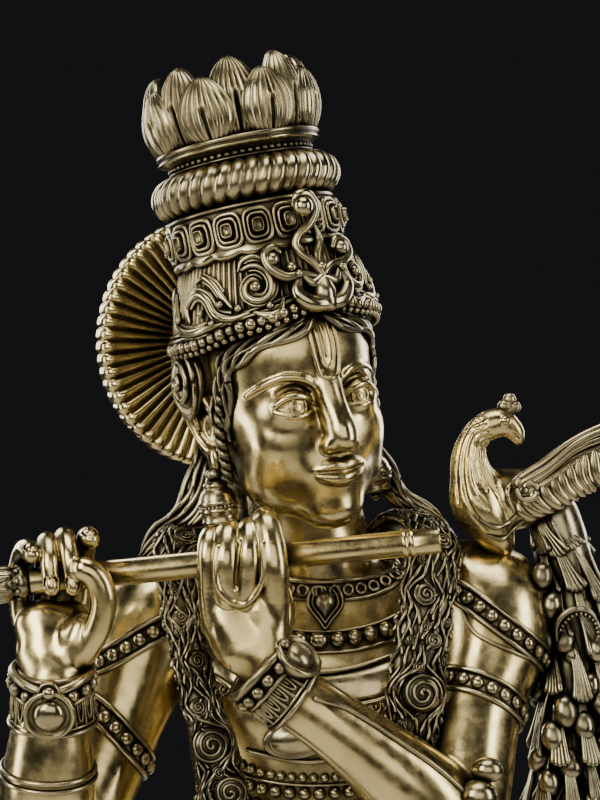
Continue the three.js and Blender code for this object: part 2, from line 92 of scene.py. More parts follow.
def make_light():
    world = bpy.data.worlds.new("studio")
    world.use_nodes = True
    sky = world.node_tree.nodes["Background"]
    sky.inputs["Color"].default_value = (0.009, 0.009, 0.010, 1)
    sky.inputs["Strength"].default_value = 1
    bpy.context.scene.world = world
    softbox("key", (-0.75, -1.1, 1.25), (0.55, 0.9), 16, (1, 0.98, 0.95))
    softbox("front", (0.1, -2.6, 1.2), (2.2, 1.6), 22, (1, 0.98, 0.95))
    softbox("right", (1.15, -0.55, 0.95), (0.35, 1.1), 10)
    softbox("left", (-1.25, -0.15, 0.8), (0.3, 1.2), 9)
    softbox("top", (0.0, -0.25, 2.1), (1.0, 0.8), 16)
    softbox("back_left", (-0.9, 1.1, 1.2), (0.6, 1.2), 16)
    softbox("back_right", (0.9, 1.1, 1.1), (0.6, 1.2), 14)


def make_floor():
    mesh = bpy.data.meshes.new("floor")
    far = 1.3
    mesh.from_pydata(
        [(-far, -far, 0), (far, -far, 0), (far, far, 0), (-far, far, 0)], [], [(0, 1, 2, 3)]
    )
    floor = bpy.data.objects.new("floor", mesh)
    bpy.context.collection.objects.link(floor)
    material = bpy.data.materials.new("floor")
    material.use_nodes = True
    shader = material.node_tree.nodes["Principled BSDF"]
    shader.inputs["Base Color"].default_value = (0.62, 0.61, 0.59, 1)
    shader.inputs["Roughness"].default_value = 0.9
    mesh.materials.append(material)


# --- Materials ---


def brass(name, recess, body, rubbed, rough, reach=4.0, tarnish_and_shade=(0.35, 0.95), mottle=0.12, grain=0.10):
    """Cast brass: dark tarnish and painted shade where the surface is hemmed in, and rubbed metal where it
    stands proud.

    reach is how far away, in mm, a neighbouring surface still darkens a point with tarnish and
    painted shade. rough holds the roughness of rubbed metal and of tarnish.
    """
    material = bpy.data.materials.new(name)
    material.use_nodes = True
    tree = material.node_tree
    nodes, link = tree.nodes, tree.links.new
    shader = nodes["Principled BSDF"]
    shader.inputs["Metallic"].default_value = 1
    place = nodes.new("ShaderNodeTexCoord").outputs["Object"]

    def noise(scale, detail):
        node = nodes.new("ShaderNodeTexNoise")
        node.inputs["Scale"].default_value = scale
        node.inputs["Detail"].default_value = detail
        link(place, node.inputs["Vector"])
        return node.outputs["Fac"]

    def spread(value, low, high, to_low, to_high):
        node = nodes.new("ShaderNodeMapRange")
        link(value, node.inputs["Value"])
        for socket, number in zip(
            ("From Min", "From Max", "To Min", "To Max"), (low, high, to_low, to_high)
        ):
            node.inputs[socket].default_value = number
        return node.outputs["Result"]

    def sums(operation, a, b):
        node = nodes.new("ShaderNodeMath")
        node.operation = operation
        node.use_clamp = True
        link(a, node.inputs[0])
        if isinstance(b, float):
            node.inputs[1].default_value = b
        else:
            link(b, node.inputs[1])
        return node.outputs[0]

    # Painted shade: an ambient occlusion node darkens the colour where the surface is hemmed in or meets
    # another part. This stands for tarnish in the hollows and also for the shade there.
    openness = nodes.new("ShaderNodeAmbientOcclusion")
    openness.samples = 8
    openness.inputs["Distance"].default_value = reach * MM
    unshaded_untarnished = spread(openness.outputs["AO"], *tarnish_and_shade, 0, 1)
    blotch = spread(noise(55, 4), 0.35, 0.7, -mottle, mottle)
    rubbed_and_unshaded = sums("ADD", unshaded_untarnished, blotch)
    colours = nodes.new("ShaderNodeValToRGB")
    link(rubbed_and_unshaded, colours.inputs["Fac"])
    stops = colours.color_ramp.elements
    stops[0].position, stops[0].color = 0.0, (*recess, 1)
    stops[1].position, stops[1].color = 1.0, (*rubbed, 1)
    middle = stops.new(0.55)
    middle.color = (*body, 1)
    link(colours.outputs["Color"], shader.inputs["Base Color"])
    smear = spread(noise(160, 3), 0.3, 0.7, -0.06, 0.08)
    gloss = spread(rubbed_and_unshaded, 0, 1, rough[1], rough[0])
    link(sums("ADD", gloss, smear), shader.inputs["Roughness"])
    bump = nodes.new("ShaderNodeBump")
    bump.inputs["Strength"].default_value = grain
    bump.inputs["Distance"].default_value = 0.3 * MM
    link(noise(420, 3), bump.inputs["Height"])
    link(bump.outputs["Normal"], shader.inputs["Normal"])
    return material


# Each finish's first colour is laid in hollows and between parts by the ambient occlusion in brass():
# tarnish and painted shade.
POLISHED = brass(
    "polished", (0.026, 0.019, 0.008), (0.22, 0.163, 0.057), (0.60, 0.475, 0.205), (0.22, 0.42),
    reach=9, tarnish_and_shade=(0.30, 0.92), mottle=0.18,
)
ANTIQUE = brass(
    "antique", (0.008, 0.0065, 0.0035), (0.100, 0.078, 0.037), (0.41, 0.335, 0.175), (0.22, 0.6),
    reach=5.0, tarnish_and_shade=(0.44, 0.98), mottle=0.22,
)
DARK = brass(
    "dark", (0.003, 0.0025, 0.0015), (0.042, 0.034, 0.018), (0.33, 0.275, 0.155), (0.22, 0.65),
    reach=5.0, tarnish_and_shade=(0.48, 1.0), mottle=0.22,
)
STEEL = brass(
    "plain_steel", (0.1, 0.1, 0.1), (0.35, 0.35, 0.34), (0.5, 0.5, 0.49), (0.3, 0.5), grain=0.05
)
SLOTS = {
    "polished_brass": POLISHED,
    "antique_brass": ANTIQUE,
    "dark_brass": DARK,
    "steel": STEEL,
}


# --- Frames, in millimetres ---


def frame_at(place, turn=None):
    return Matrix.Translation(place) @ (turn or Matrix.Identity(4))


def stretched(place, size):
    """A matrix that stretches a shape by size along X, Y and Z and puts it at place."""
    return np.array(frame_at(place) @ Matrix.Diagonal((*size, 1)))


WORLD = Matrix.Identity(4)
HEAD = frame_at(
    (-14, -14, 744),
    Matrix.Rotation(radians(-10.5), 4, "Y")
    @ Matrix.Rotation(radians(28), 4, "Z")
    @ Matrix.Rotation(radians(5), 4, "X"),
)
CROWN = HEAD @ frame_at((-2, 2, 55), Matrix.Rotation(radians(-7), 4, "X"))


def through(matrix, points):
    """Points moved by a matrix."""
    m = np.array(matrix)
    return np.asarray(points, float) @ m[:3, :3].T + m[:3, 3]


# --- Curves ---


def spline(points, count):
    """A smooth curve through points of any width, sampled evenly in its parameter."""
    p = np.asarray(points, float)
    n = len(p)
    ends = np.vstack([2 * p[0] - p[1], p, 2 * p[-1] - p[-2]])
    t = np.linspace(0, n - 1, count)
    i = np.minimum(t.astype(int), n - 2)
    u = (t - i)[:, None]
    a, b, c, d = ends[i], ends[i + 1], ends[i + 2], ends[i + 3]
    return 0.5 * (
        2 * b + (c - a) * u + (2 * a - 5 * b + 4 * c - d) * u**2 + (3 * b - a - 3 * c + d) * u**3
    )


def even(points, step):
    """A curve resampled at even distances of about step. Returns the points."""
    p = np.asarray(points, float)
    run = np.concatenate([[0], np.cumsum(np.linalg.norm(np.diff(p, axis=0), axis=1))])
    count = max(2, int(round(run[-1] / step)) + 1)
    at = np.linspace(0, run[-1], count)
    return np.stack([np.interp(at, run, p[:, k]) for k in range(p.shape[1])], axis=1)


def ramp(count, at, values):
    """count values along a curve, which pass through values at the parts (0 to 1) given by at."""
    return np.interp(np.linspace(0, 1, count), at, values)


def unit(v):
    v = np.asarray(v, float)
    return v / np.maximum(np.linalg.norm(v, axis=-1, keepdims=True), 1e-9)


def tangents(points, closed=False):
    if closed:
        return unit(np.roll(points, -1, axis=0) - np.roll(points, 1, axis=0))
    return unit(np.gradient(points, axis=0))


# --- Meshes ---


def blunt_tip(row, centre, way, radius):
    """Two smaller rings beyond a tube's end ring, which round it off."""
    return [centre + (row - centre) * k + way * radius * h for k, h in ((0.8, 0.45), (0.45, 0.75))]


class Soup:
    """Vertices and faces in millimetres, gathered into one piece."""

    def __init__(self, matrix=WORLD):
        self.matrix = matrix
        self.points, self.quads, self.tris, self.count = [], [], [], 0

    def add(self, points, quads=(), tris=()):
        points = np.asarray(points, float).reshape(-1, 3)
        if len(quads):
            self.quads.append(np.asarray(quads, int).reshape(-1, 4) + self.count)
        if len(tris):
            self.tris.append(np.asarray(tris, int).reshape(-1, 3) + self.count)
        self.points.append(points)
        self.count += len(points)

    def skin(self, rows, around=True, ends="caps"):
        """A surface through rows of points; around closes each row, and ends closes first and last."""
        rows = np.asarray(rows, float)
        n, m = rows.shape[:2]
        i, j = np.meshgrid(np.arange(n - 1), np.arange(m if around else m - 1), indexing="ij")
        k = (j + 1) % m
        quads = np.stack([i * m + j, i * m + k, (i + 1) * m + k, (i + 1) * m + j], axis=-1)
        points = rows.reshape(-1, 3)
        tris = []
        if around and ends == "caps":
            points = np.vstack([points, rows[0].mean(0), rows[-1].mean(0)])
            a = np.arange(m)
            b = (a + 1) % m
            last = (n - 1) * m
            tris = np.vstack(
                [
                    np.stack([np.full(m, n * m), b, a], axis=1),
                    np.stack([np.full(m, n * m + 1), last + a, last + b], axis=1),
                ]
            )
        self.add(points, quads, tris)

    def ring(self, rows):
        """A surface closed both ways, such as a torus."""
        rows = np.asarray(rows, float)
        self.skin(np.concatenate([rows, rows[:1]]), ends="open")

    def tube(self, path, radii, sides=10, flat=1.0, up=(0, 0, 1), blunt=True, closed=False):
        """A round or flattened tube along a path. up gives the direction of the flattened side."""
        path = np.asarray(path, float)
        radii = np.broadcast_to(np.asarray(radii, float), len(path)).copy()
        along = tangents(path, closed)
        up = np.broadcast_to(np.asarray(up, float), path.shape)
        across = np.cross(along, up)
        weak = np.linalg.norm(across, axis=1) < 1e-3
        across[weak] = np.cross(along[weak], (0.3, 1, 0.2))
        across = unit(across)
        lift = np.cross(across, along)
        a = np.linspace(0, tau, sides, endpoint=False)
        ring = np.cos(a)[:, None, None] * across[None] + np.sin(a)[:, None, None] * lift[None] * flat
        rows = (path[None] + ring * radii[None, :, None]).swapaxes(0, 1)
        if closed:
            self.ring(rows)
            return
        if blunt:
            first = blunt_tip(rows[0], path[0], -along[0], radii[0])[::-1]
            last = blunt_tip(rows[-1], path[-1], along[-1], radii[-1])
            rows = np.concatenate([first, rows, last])
        self.skin(rows)

    def turn(self, profile, sides=64, wave=None):
        """A profile of (radius, height) turned about Z. wave(radius, height, angle) adds to the radius."""
        p = np.asarray(profile, float)
        a = np.linspace(0, tau, sides, endpoint=False)
        r = np.repeat(p[:, :1], sides, axis=1)
        z = np.repeat(p[:, 1:], sides, axis=1)
        if wave is not None:
            r = r + wave(r, z, a[None])
        rows = np.stack([r * np.cos(a), r * np.sin(a), z], axis=-1)
        self.skin(rows)

    def stamp(self, shape, matrices):
        """Copies of a shape, one for each 4 x 4 matrix."""
        points, quads, tris = shape
        m = np.asarray(matrices, float).reshape(-1, 4, 4)
        if not len(m):
            return
        placed = np.einsum("nij,pj->npi", m[:, :3, :3], points) + m[:, None, :3, 3]
        shift = (np.arange(len(m)) * len(points))[:, None, None]
        self.add(
            placed,
            (quads[None] + shift).reshape(-1, 4) if len(quads) else (),
            (tris[None] + shift).reshape(-1, 3) if len(tris) else (),
        )

    def shape(self):
        """This soup as a shape that another one can stamp."""
        return (
            np.vstack(self.points),
            np.vstack(self.quads) if self.quads else np.zeros((0, 4), int),
            np.vstack(self.tris) if self.tris else np.zeros((0, 3), int),
        )


def make_object(name, points, quads, tris, material, body="statue", nodes=(), slot=None):
    """A Blender object from arrays in millimetres, riding on a body and standing for CAD nodes."""
    mesh = bpy.data.meshes.new(name)
    mesh.vertices.add(len(points))
    mesh.vertices.foreach_set("co", (np.asarray(points) * MM).astype(np.float32).ravel())
    corners = np.concatenate([np.ravel(quads), np.ravel(tris)]).astype(np.int32)
    sizes = np.concatenate([np.full(len(quads), 4), np.full(len(tris), 3)]).astype(np.int32)
    mesh.loops.add(len(corners))
    mesh.loops.foreach_set("vertex_index", corners)
    mesh.polygons.add(len(sizes))
    mesh.polygons.foreach_set("loop_start", (np.cumsum(sizes) - sizes).astype(np.int32))
    mesh.polygons.foreach_set("use_smooth", np.ones(len(sizes), bool))
    mesh.update(calc_edges=True)
    mesh.validate()
    mesh.materials.append(material)
    piece = bpy.data.objects.new(name, mesh)
    bpy.context.collection.objects.link(piece)
    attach(piece, body)
    if nodes:
        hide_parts(*nodes)
    return piece


def finish_soup(soup, name, material, **words):
    points, quads, tris = soup.shape()
    return make_object(name, through(soup.matrix, points), quads, tris, material, **words)


# --- Clay: solids as signed distances on a grid ---


FAR = 12.0  # mm, the distance the grid holds where no shape is near

class Clay:
    """A solid sculpted from soft-joined shapes, in millimetres in a frame of its own."""

    def __init__(self, low, high, step, matrix=WORLD):
        self.low, self.step, self.matrix = np.asarray(low, float), step, matrix
        size = np.ceil((np.asarray(high, float) - self.low) / step).astype(int) + 1
        self.axes = [self.low[k] + step * np.arange(size[k]) for k in range(3)]
        self.axes = [axis.astype(np.float32) for axis in self.axes]
        self.field = np.full(size, FAR, np.float32)

    def region(self, low, high, margin):
        """The part of the grid round a box: its slices and its X, Y and Z coordinates."""
        cut = []
        for axis, lo, hi in zip(self.axes, low, high):
            first = int((lo - margin - axis[0]) / self.step)
            last = int((hi + margin - axis[0]) / self.step) + 2
            cut.append(slice(max(first, 0), max(min(last, len(axis)), 0)))
        x, y, z = (axis[s] for axis, s in zip(self.axes, cut))
        return tuple(cut), x[:, None, None], y[None, :, None], z[None, None, :]

    def blend(self, cut, distance, soft, carve):
        """Joins a shape softly to the clay, or carves it away."""
        old = self.field[cut]
        if carve:
            h = np.clip(0.5 + 0.5 * (old + distance) / soft, 0, 1)
            self.field[cut] = old * h - distance * (1 - h) + soft * h * (1 - h)
            return
        h = np.clip(0.5 + 0.5 * (old - distance) / soft, 0, 1)
        self.field[cut] = old * (1 - h) + distance * h - soft * h * (1 - h)

    def oval(self, centre, radii, soft=2.0, carve=False, turn=None):
        """An ellipsoid, turned by Euler angles in degrees."""
        centre, radii = np.asarray(centre, float), np.asarray(radii, float)
        reach = np.full(3, radii.max()) if turn else radii
        cut, x, y, z = self.region(centre - reach, centre + reach, soft + 2 * self.step)
        x, y, z = x - centre[0], y - centre[1], z - centre[2]
        if turn:
            m = np.array(Euler([radians(a) for a in turn]).to_matrix()).T
            x, y, z = (m[k, 0] * x + m[k, 1] * y + m[k, 2] * z for k in range(3))
        near = np.sqrt((x / radii[0]) ** 2 + (y / radii[1]) ** 2 + (z / radii[2]) ** 2)
        steep = np.sqrt(
            (x / radii[0] ** 2) ** 2 + (y / radii[1] ** 2) ** 2 + (z / radii[2] ** 2) ** 2
        )
        self.blend(cut, near * (near - 1) / np.maximum(steep, 1e-6), soft, carve)

    def rod(self, a, b, ra, rb, soft=2.0, carve=False):
        """A straight tapering rod with round ends."""
        a, b = np.asarray(a, float), np.asarray(b, float)
        r = max(ra, rb)
        cut, x, y, z = self.region(
            np.minimum(a, b) - r, np.maximum(a, b) + r, soft + 2 * self.step
        )
        d = b - a
        x, y, z = x - a[0], y - a[1], z - a[2]
        t = np.clip((x * d[0] + y * d[1] + z * d[2]) / max(d @ d, 1e-9), 0, 1)
        gap = np.sqrt((x - t * d[0]) ** 2 + (y - t * d[1]) ** 2 + (z - t * d[2]) ** 2)
        self.blend(cut, gap - (ra + t * (rb - ra)), soft, carve)

    def worm(self, points, radii, soft=2.0, carve=False, count=None):
        """A bending rod through points, with a radius at each."""
        table = [(*p, r) for p, r in zip(points, np.broadcast_to(radii, len(points)))]
        path = spline(table, count or 4 * len(points))
        for a, b in zip(path[:-1], path[1:]):
            self.rod(a[:3], b[:3], max(a[3], 0.1), max(b[3], 0.1), soft, carve)

    def column(self, levels, soft=2.0, power=2.0):
        """An upright body whose oval section changes with height: levels of (z, x, y, rx, ry)."""
        table = np.asarray(sorted(levels), float)
        fine = spline(table, 80)
        low = (fine[:, 1] - fine[:, 3]).min(), (fine[:, 2] - fine[:, 4]).min(), table[0, 0]
        high = (fine[:, 1] + fine[:, 3]).max(), (fine[:, 2] + fine[:, 4]).max(), table[-1, 0]
        cut, x, y, z = self.region(low, high, soft + 3 * self.step)
        cx, cy, rx, ry = (np.interp(z, fine[:, 0], fine[:, k]) for k in (1, 2, 3, 4))
        near = (np.abs((x - cx) / rx) ** power + np.abs((y - cy) / ry) ** power) ** (1 / power)
        d = (near - 1) * np.minimum(rx, ry)
        d = np.maximum(d, np.maximum(table[0, 0] - z, z - table[-1, 0]))
        self.blend(cut, d, soft, False)

    def sample(self, points):
        """The distance at points, by linear interpolation."""
        g = (np.asarray(points, float) - self.low) / self.step
        g = np.clip(g, 0, np.array(self.field.shape) - 1.001)
        i = g.astype(int)
        f = g - i
        total = 0
        for corner in np.ndindex(2, 2, 2):
            w = np.prod(np.where(corner, f, 1 - f), axis=-1)
            total = total + w * self.field[tuple((i + corner).T)]
        return total

    def slope(self, points):
        e = self.step
        return unit(
            np.stack(
                [
                    self.sample(points + d) - self.sample(points - d)
                    for d in np.eye(3) * e
                ],
                axis=-1,
            )
        )

    def snap(self, points, height=0.0, turns=6):
        """Points moved onto the surface, or height above it, and the normals there."""
        p = np.array(points, float)
        for _ in range(turns):
            p = p - self.slope(p) * np.clip(self.sample(p) - height, -3, 3)[:, None]
        return p, self.slope(p)

    def front(self, x, z):
        """The foremost (lowest y) surface point at x and z."""
        i = int(round((x - self.low[0]) / self.step))
        k = int(round((z - self.low[2]) / self.step))
        line = self.field[i, :, k]
        j = int(np.argmax(line < 0))
        if j == 0:
            return float(self.axes[1][-1])
        part = line[j - 1] / (line[j - 1] - line[j])
        return float(self.axes[1][j - 1] + part * self.step)

    def meshed(self, smooth=2):
        """Points and quads of the solid's surface, smoothed by a few rounds of averaging."""
        grid = openvdb.FloatGrid(background=FAR)
        grid.copyFromArray(self.field)
        grid.transform = openvdb.createLinearTransform(voxelSize=self.step)
        points, quads = grid.convertToQuads(isovalue=0.0)
        points = points.astype(float) + self.low
        a, b, c = (points[quads[:, k]] for k in range(3))
        if np.einsum("ij,ij->", np.cross(a, b), c) < 0:
            quads = quads[:, ::-1]
        edges = np.vstack([quads[:, [k, (k + 1) % 4]] for k in range(4)])
        for _ in range(smooth):
            total = np.zeros_like(points)
            for k in range(3):
                total[:, k] = np.bincount(edges[:, 0], points[edges[:, 1], k], len(points))
            number = np.maximum(np.bincount(edges[:, 0], minlength=len(points)), 1)
            points = 0.5 * points + 0.5 * total / number[:, None]
        return points, quads

    def made(self, name, material, smooth=2, **words):
        points, quads = self.meshed(smooth)
        return make_object(
            name, through(self.matrix, points), quads, np.zeros((0, 3), int), material, **words
        )


# --- Small ornaments as shapes to stamp, standing on the XY plane with +Z outward ---


def bead_shape(sides=10, rows=6, squash=1.0):
    soup = Soup()
    a = np.linspace(-pi / 2, pi / 2, rows)[1:-1]
    soup.turn([(cos(t), sin(t) * squash) for t in a], sides)
    points, quads, tris = soup.shape()
    points[-2:] = (0, 0, -squash), (0, 0, squash)
    return points, quads, tris


def rosette_shape(petals=7, rings=12, sides=28):
    """A round flower with a spiral of overlapping petals, one unit in radius."""
    a = np.linspace(0, tau, sides, endpoint=False)
    r = np.linspace(1, 0.04, rings)[:, None]
    edge = 1 + 0.10 * np.cos(petals * a)[None] * (r > 0.75)
    spiral = np.cos(tau * r * 3.1 - a[None])
    height = 0.10 + 0.55 * np.sqrt(np.clip(1 - r**2, 0, 1)) + 0.10 * spiral * np.clip(r * 4, 0, 1)
    height = np.where(r >= 1, 0.0, height)
    rows = np.stack([r * edge * np.cos(a), r * edge * np.sin(a), height + 0 * a], axis=-1)
    soup = Soup()
    skirt = rows[:1].copy()
    skirt[..., 2] = -0.35
    soup.skin(np.concatenate([skirt, rows]))
    return soup.shape()


def leaf_shape(rows=9):
    """A slim leaf lying along +X, one unit long, with a raised midrib."""
    soup = Soup()
    t = np.linspace(0, 1, rows)
    wide = 0.26 * np.sin(pi * t**0.8) + 0.01
    ring = np.linspace(0, tau, 8, endpoint=False)
    outline = np.stack(
        [
            np.stack(
                [
                    np.full(8, u - 0.5),
                    np.cos(ring) * w,
                    np.maximum(np.sin(ring), -0.4) * (0.10 + 0.16 * np.sin(pi * u))
                    * (1 - 0.5 * np.abs(np.cos(ring)) ** 3),
                ],
                axis=-1,
            )
            for u, w in zip(t, wide)
        ]
    )
    soup.skin(outline)
    return soup.shape()


def drop_shape(sides=12, rows=12, tall=2.0):
    """A teardrop, round at the foot (origin) and pointed at the top along +Z."""
    t = np.linspace(0.02, 0.98, rows)
    r = np.sin(pi * t) ** 0.9 * (1 - t) ** 0.35 * 1.25
    soup = Soup()
    soup.turn(np.stack([r, t * tall], axis=1), sides)
    return soup.shape()


BEAD = bead_shape()
BUTTON = bead_shape(12, 8, 0.55)
ROSETTE = rosette_shape()
LEAF = leaf_shape()
DROP = drop_shape()


def placed(points, normals, along, size):
    """Matrices that set a stamped shape at points, +Z on the normals and +X along."""
    z = unit(normals)
    x = np.broadcast_to(np.asarray(along, float), z.shape)
    x = unit(x - z * np.einsum("ij,ij->i", x, z)[:, None])
    y = np.cross(z, x)
    size = np.broadcast_to(np.asarray(size, float), (len(z),) if np.ndim(size) < 2 else (len(z), 3))
    if size.ndim == 1:
        size = np.repeat(size[:, None], 3, axis=1)
    m = np.zeros((len(z), 4, 4))
    m[:, :3, 0] = x * size[:, :1]
    m[:, :3, 1] = y * size[:, 1:2]
    m[:, :3, 2] = z * size[:, 2:3]
    m[:, :3, 3] = points
    m[:, 3, 3] = 1
    return m


def spin(count, radius, height, size, lean=0.0, phase=0.0):
    """Matrices for shapes that stand round the Z axis: local +Y points out, +Z up, leaning outward."""
    found = []
    for i in range(count):
        a = tau * (i + phase) / count
        m = (
            Matrix.Rotation(a, 4, "Z")
            @ Matrix.Translation((0, radius, height))
            @ Matrix.Rotation(-lean, 4, "X")
        )
        found.append(np.array(m @ Matrix.Diagonal((*np.broadcast_to(size, 3), 1))))
    return np.array(found)


def circle(radius, height, count):
    """A level circle about the Z axis."""
    a = np.linspace(0, tau, count, endpoint=False)
    return np.stack([radius * np.cos(a), radius * np.sin(a), np.full(count, float(height))], axis=1)


def bead_row(soup, points, size, step=None):
    """Beads at even distances along a curve."""
    spots = even(points, step or size * 2.05)
    up = np.broadcast_to((0, 0, 1), spots.shape)
    soup.stamp(BEAD, placed(spots, up, (0.71, 0.7, 0.1), size))


# --- Head ---


def arc_on(clay, points, lift=0.0, count=24):
    """A smooth curve through (x, z) points laid on the front of a clay, lifted by lift."""
    return spline([(x, clay.front(x, z) - lift, z) for x, z in points], count)


EYE_X, EYE_Z = 16.2, 0.0
EYE_BALL = (15.6, -28.2, 0.0)
EYE_R = 9.6


def almond(x, z, side, wide=18.8, tall=8.8, slant=0.06):
    """Distance outside the eye's opening, in the face's plane."""
    u = (x - side * EYE_X) * side
    v = z - EYE_Z - slant * u
    upper, lower = tall * 0.60, tall * 0.40
    half = wide / 2

    def bow(height, way):
        r = (half**2 + height**2) / (2 * height)
        return np.sqrt(u**2 + (v + way * (r - height)) ** 2) - r

    return np.maximum(bow(upper, 1), bow(lower, -1))


def lid_edge(side, upper, wide=18.8, tall=8.8, slant=0.06, count=22, past=0.0):
    """Points (x, z) along one edge of the eye's opening, from the inner to the outer corner."""
    half = wide / 2
    height = tall * (0.60 if upper else 0.40)
    r = (half**2 + height**2) / (2 * height)
    u = np.linspace(-half, half + past, count)
    v = np.sqrt(np.maximum(r**2 - np.minimum(np.abs(u), half) ** 2, 0)) - (r - height)
    v = v if upper else -v
    return [(side * (EYE_X + a), EYE_Z + b + slant * a) for a, b in zip(u, v)]


def sculpt_head():
    clay = Clay((-46, -56, -58), (46, 50, 58), 0.55, HEAD)
    clay.oval((0, 3, 8), (36.5, 40, 44), 4)
    clay.oval((0, -11, -8), (32.5, 27.5, 41), 8)
    clay.oval((0, -5, 24), (35, 35.5, 28), 8)
    clay.oval((0, -20, -35), (19, 15, 16), 9)
    for s in (-1, 1):
        clay.oval((s * 17, -21.5, -15), (13.5, 13, 14), 9)
        clay.oval((s * 19, -12, -30), (13, 14, 14), 9)
    clay.oval((0, -27.5, -46), (12, 9.5, 8.5), 9)
    clay.oval((0, -28, -28), (15, 12.0, 11), 9)
    # Eye hollows, balls and lids.
    for s in (-1, 1):
        clay.oval((s * 16.5, -41.5, 2.0), (12.5, 4.6, 7.5), 8, carve=True)
        clay.oval((s * 7.0, -43, 1.0), (3.5, 4.0, 6), 7, carve=True)
    for s in (-1, 1):
        centre = np.array((s * EYE_BALL[0], EYE_BALL[1], EYE_BALL[2]))
        cut, x, y, z = clay.region(centre - 14, centre + 14, 1)
        ball = np.sqrt((x - centre[0]) ** 2 + (y - centre[1]) ** 2 + (z - centre[2]) ** 2)
        opening = almond(x, z, s)
        front = y - (centre[1] + 1)
        lids = np.maximum(ball - (EYE_R + 1.4), front)
        clay.blend(cut, lids, 4.0, False)
        hole = np.maximum(np.maximum(opening, front), ball - (EYE_R + 6))
        clay.blend(cut, hole, 0.5, True)
        clay.blend(cut, ball - EYE_R, 0.3, False)

        def on_ball(points, lift):
            found = []
            for px, pz in points:
                d = (EYE_R + lift) ** 2 - (px - centre[0]) ** 2 - (pz - centre[2]) ** 2
                found.append((px, centre[1] - np.sqrt(max(d, 9)), pz))
            return found

        clay.worm(on_ball(lid_edge(s, True)[::4], 0.8), 0.95, 1.0, count=40)
        clay.worm(on_ball(lid_edge(s, False)[::4], 0.6), 0.75, 1.0, count=40)
        crease = [(a, b + 3.6) for a, b in lid_edge(s, True, wide=19.0)[2::4]]
        clay.worm(on_ball(crease, 1.7), 0.4, 1.6, carve=True, count=40)
        brow = [(s * 6.4, 8.8), (s * 11, 12.0), (s * 19, 13.6), (s * 27, 11.0), (s * 31, 7.6)]
        path = arc_on(clay, brow, 0.0, 30)
        clay.worm(path, ramp(30, [0, 0.3, 1], [0.9, 1.1, 0.4]), 1.4, count=40)
    # Nose.
    bridge = [(0, -37.0, 10), (0, -38.8, 1), (0, -42.6, -8), (0, -45.6, -15)]
    clay.worm(bridge, [3.2, 3.0, 3.3, 3.9], 5.5, count=18)
    clay.oval((0, -46.0, -16.4), (4.6, 4.6, 4.2), 3)
    for s in (-1, 1):
        clay.oval((s * 5.2, -41.8, -17.6), (3.3, 4.4, 3.5), 3)
    clay.oval((0, -43.2, -19.2), (3.0, 4.5, 2.2), 1.8)
    for s in (-1, 1):
        clay.oval((s * 2.9, -44.0, -20.9), (1.3, 2.0, 1.5), 0.8, carve=True)
    clay.worm([(0, -43.0, -22.4), (0, -42.9, -25.0)], [0.9, 1.1], 2.0, carve=True)

    # Mouth: a soft smile.
    def lip(points, depths, radii):
        path = [(x, clay.front(x, z) + depth, z) for (x, z), depth in zip(points, depths)]
        clay.worm(path, radii, 1.8, count=40)

    half = [(4.0, -26.8), (8.0, -27.5), (11.8, -28.5)]
    upper = [(-x, z) for x, z in half[::-1]] + [(0, -27.5)] + half
    lip(upper, [1.6, 1.0, 0.8, 0.9, 0.8, 1.0, 1.6], [0.6, 1.6, 2.1, 1.9, 2.1, 1.6, 0.6])
    lower = [(-10.4, -29.8), (-6.0, -31.4), (0, -32.2), (6.0, -31.4), (10.4, -29.8)]
    lip(lower, [1.8, 1.1, 1.0, 1.1, 1.8], [0.7, 2.2, 2.9, 2.2, 0.7])
    parting = [(-11.8, -28.8), (-6, -29.2), (0, -29.7), (6, -29.2), (11.8, -28.8)]
    clay.worm(arc_on(clay, parting, -0.1, 40), 0.5, 0.9, carve=True, count=40)
    # Ears.
    for s in (-1, 1):
        clay.oval((s * 35.5, 6, -3), (3.2, 8.0, 13.5), 2.0, turn=(0, 0, s * -14))
        rim = [
            (s * 36.5, -1.5, -6), (s * 37.6, -0.5, 1), (s * 39.6, 4.5, 9.2), (s * 41.6, 11.5, 8.4),
            (s * 41.8, 14.5, 0), (s * 40.0, 11.5, -9), (s * 38.2, 5.5, -16),
        ]
        clay.worm(rim, [1.3, 1.6, 1.9, 2.0, 1.9, 1.7, 1.9], 1.2, count=26)
        clay.worm(
            [(s * 40.4, 5.5, 5), (s * 41.0, 10.4, 2.5), (s * 40.4, 9.4, -5)], [1.0, 1.2, 1.1], 1.2
        )
        clay.oval((s * 39.0, 3.0, -5.5), (2.6, 3.0, 4.2), 1.5, carve=True)
        clay.oval((s * 38.0, 3.2, -19), (2.7, 4.2, 5.6), 2)
        clay.oval((s * 36.6, -1.8, -5.5), (1.6, 1.8, 2.6), 1.2)
    return clay


HEAD_CLAY = sculpt_head()


def make_eyes():
    """Two rings on each eyeball, for the iris and the pupil."""
    eyes = Soup(HEAD)
    t = np.linspace(0, tau, 48, endpoint=False)
    for s in (-1, 1):
        middle = np.array((s * (EYE_BALL[0] - 0.3), EYE_BALL[1], EYE_BALL[2] + 0.4))
        for radius, thick in ((3.9, 0.5), (1.6, 0.35)):
            deep = np.sqrt(EYE_R**2 - radius**2)
            ring = middle + np.stack([radius * np.cos(t), 0 * t - deep, radius * np.sin(t)], axis=1)
            eyes.tube(ring, thick, 8, closed=True)
    finish_soup(eyes, "eye_rings", POLISHED)


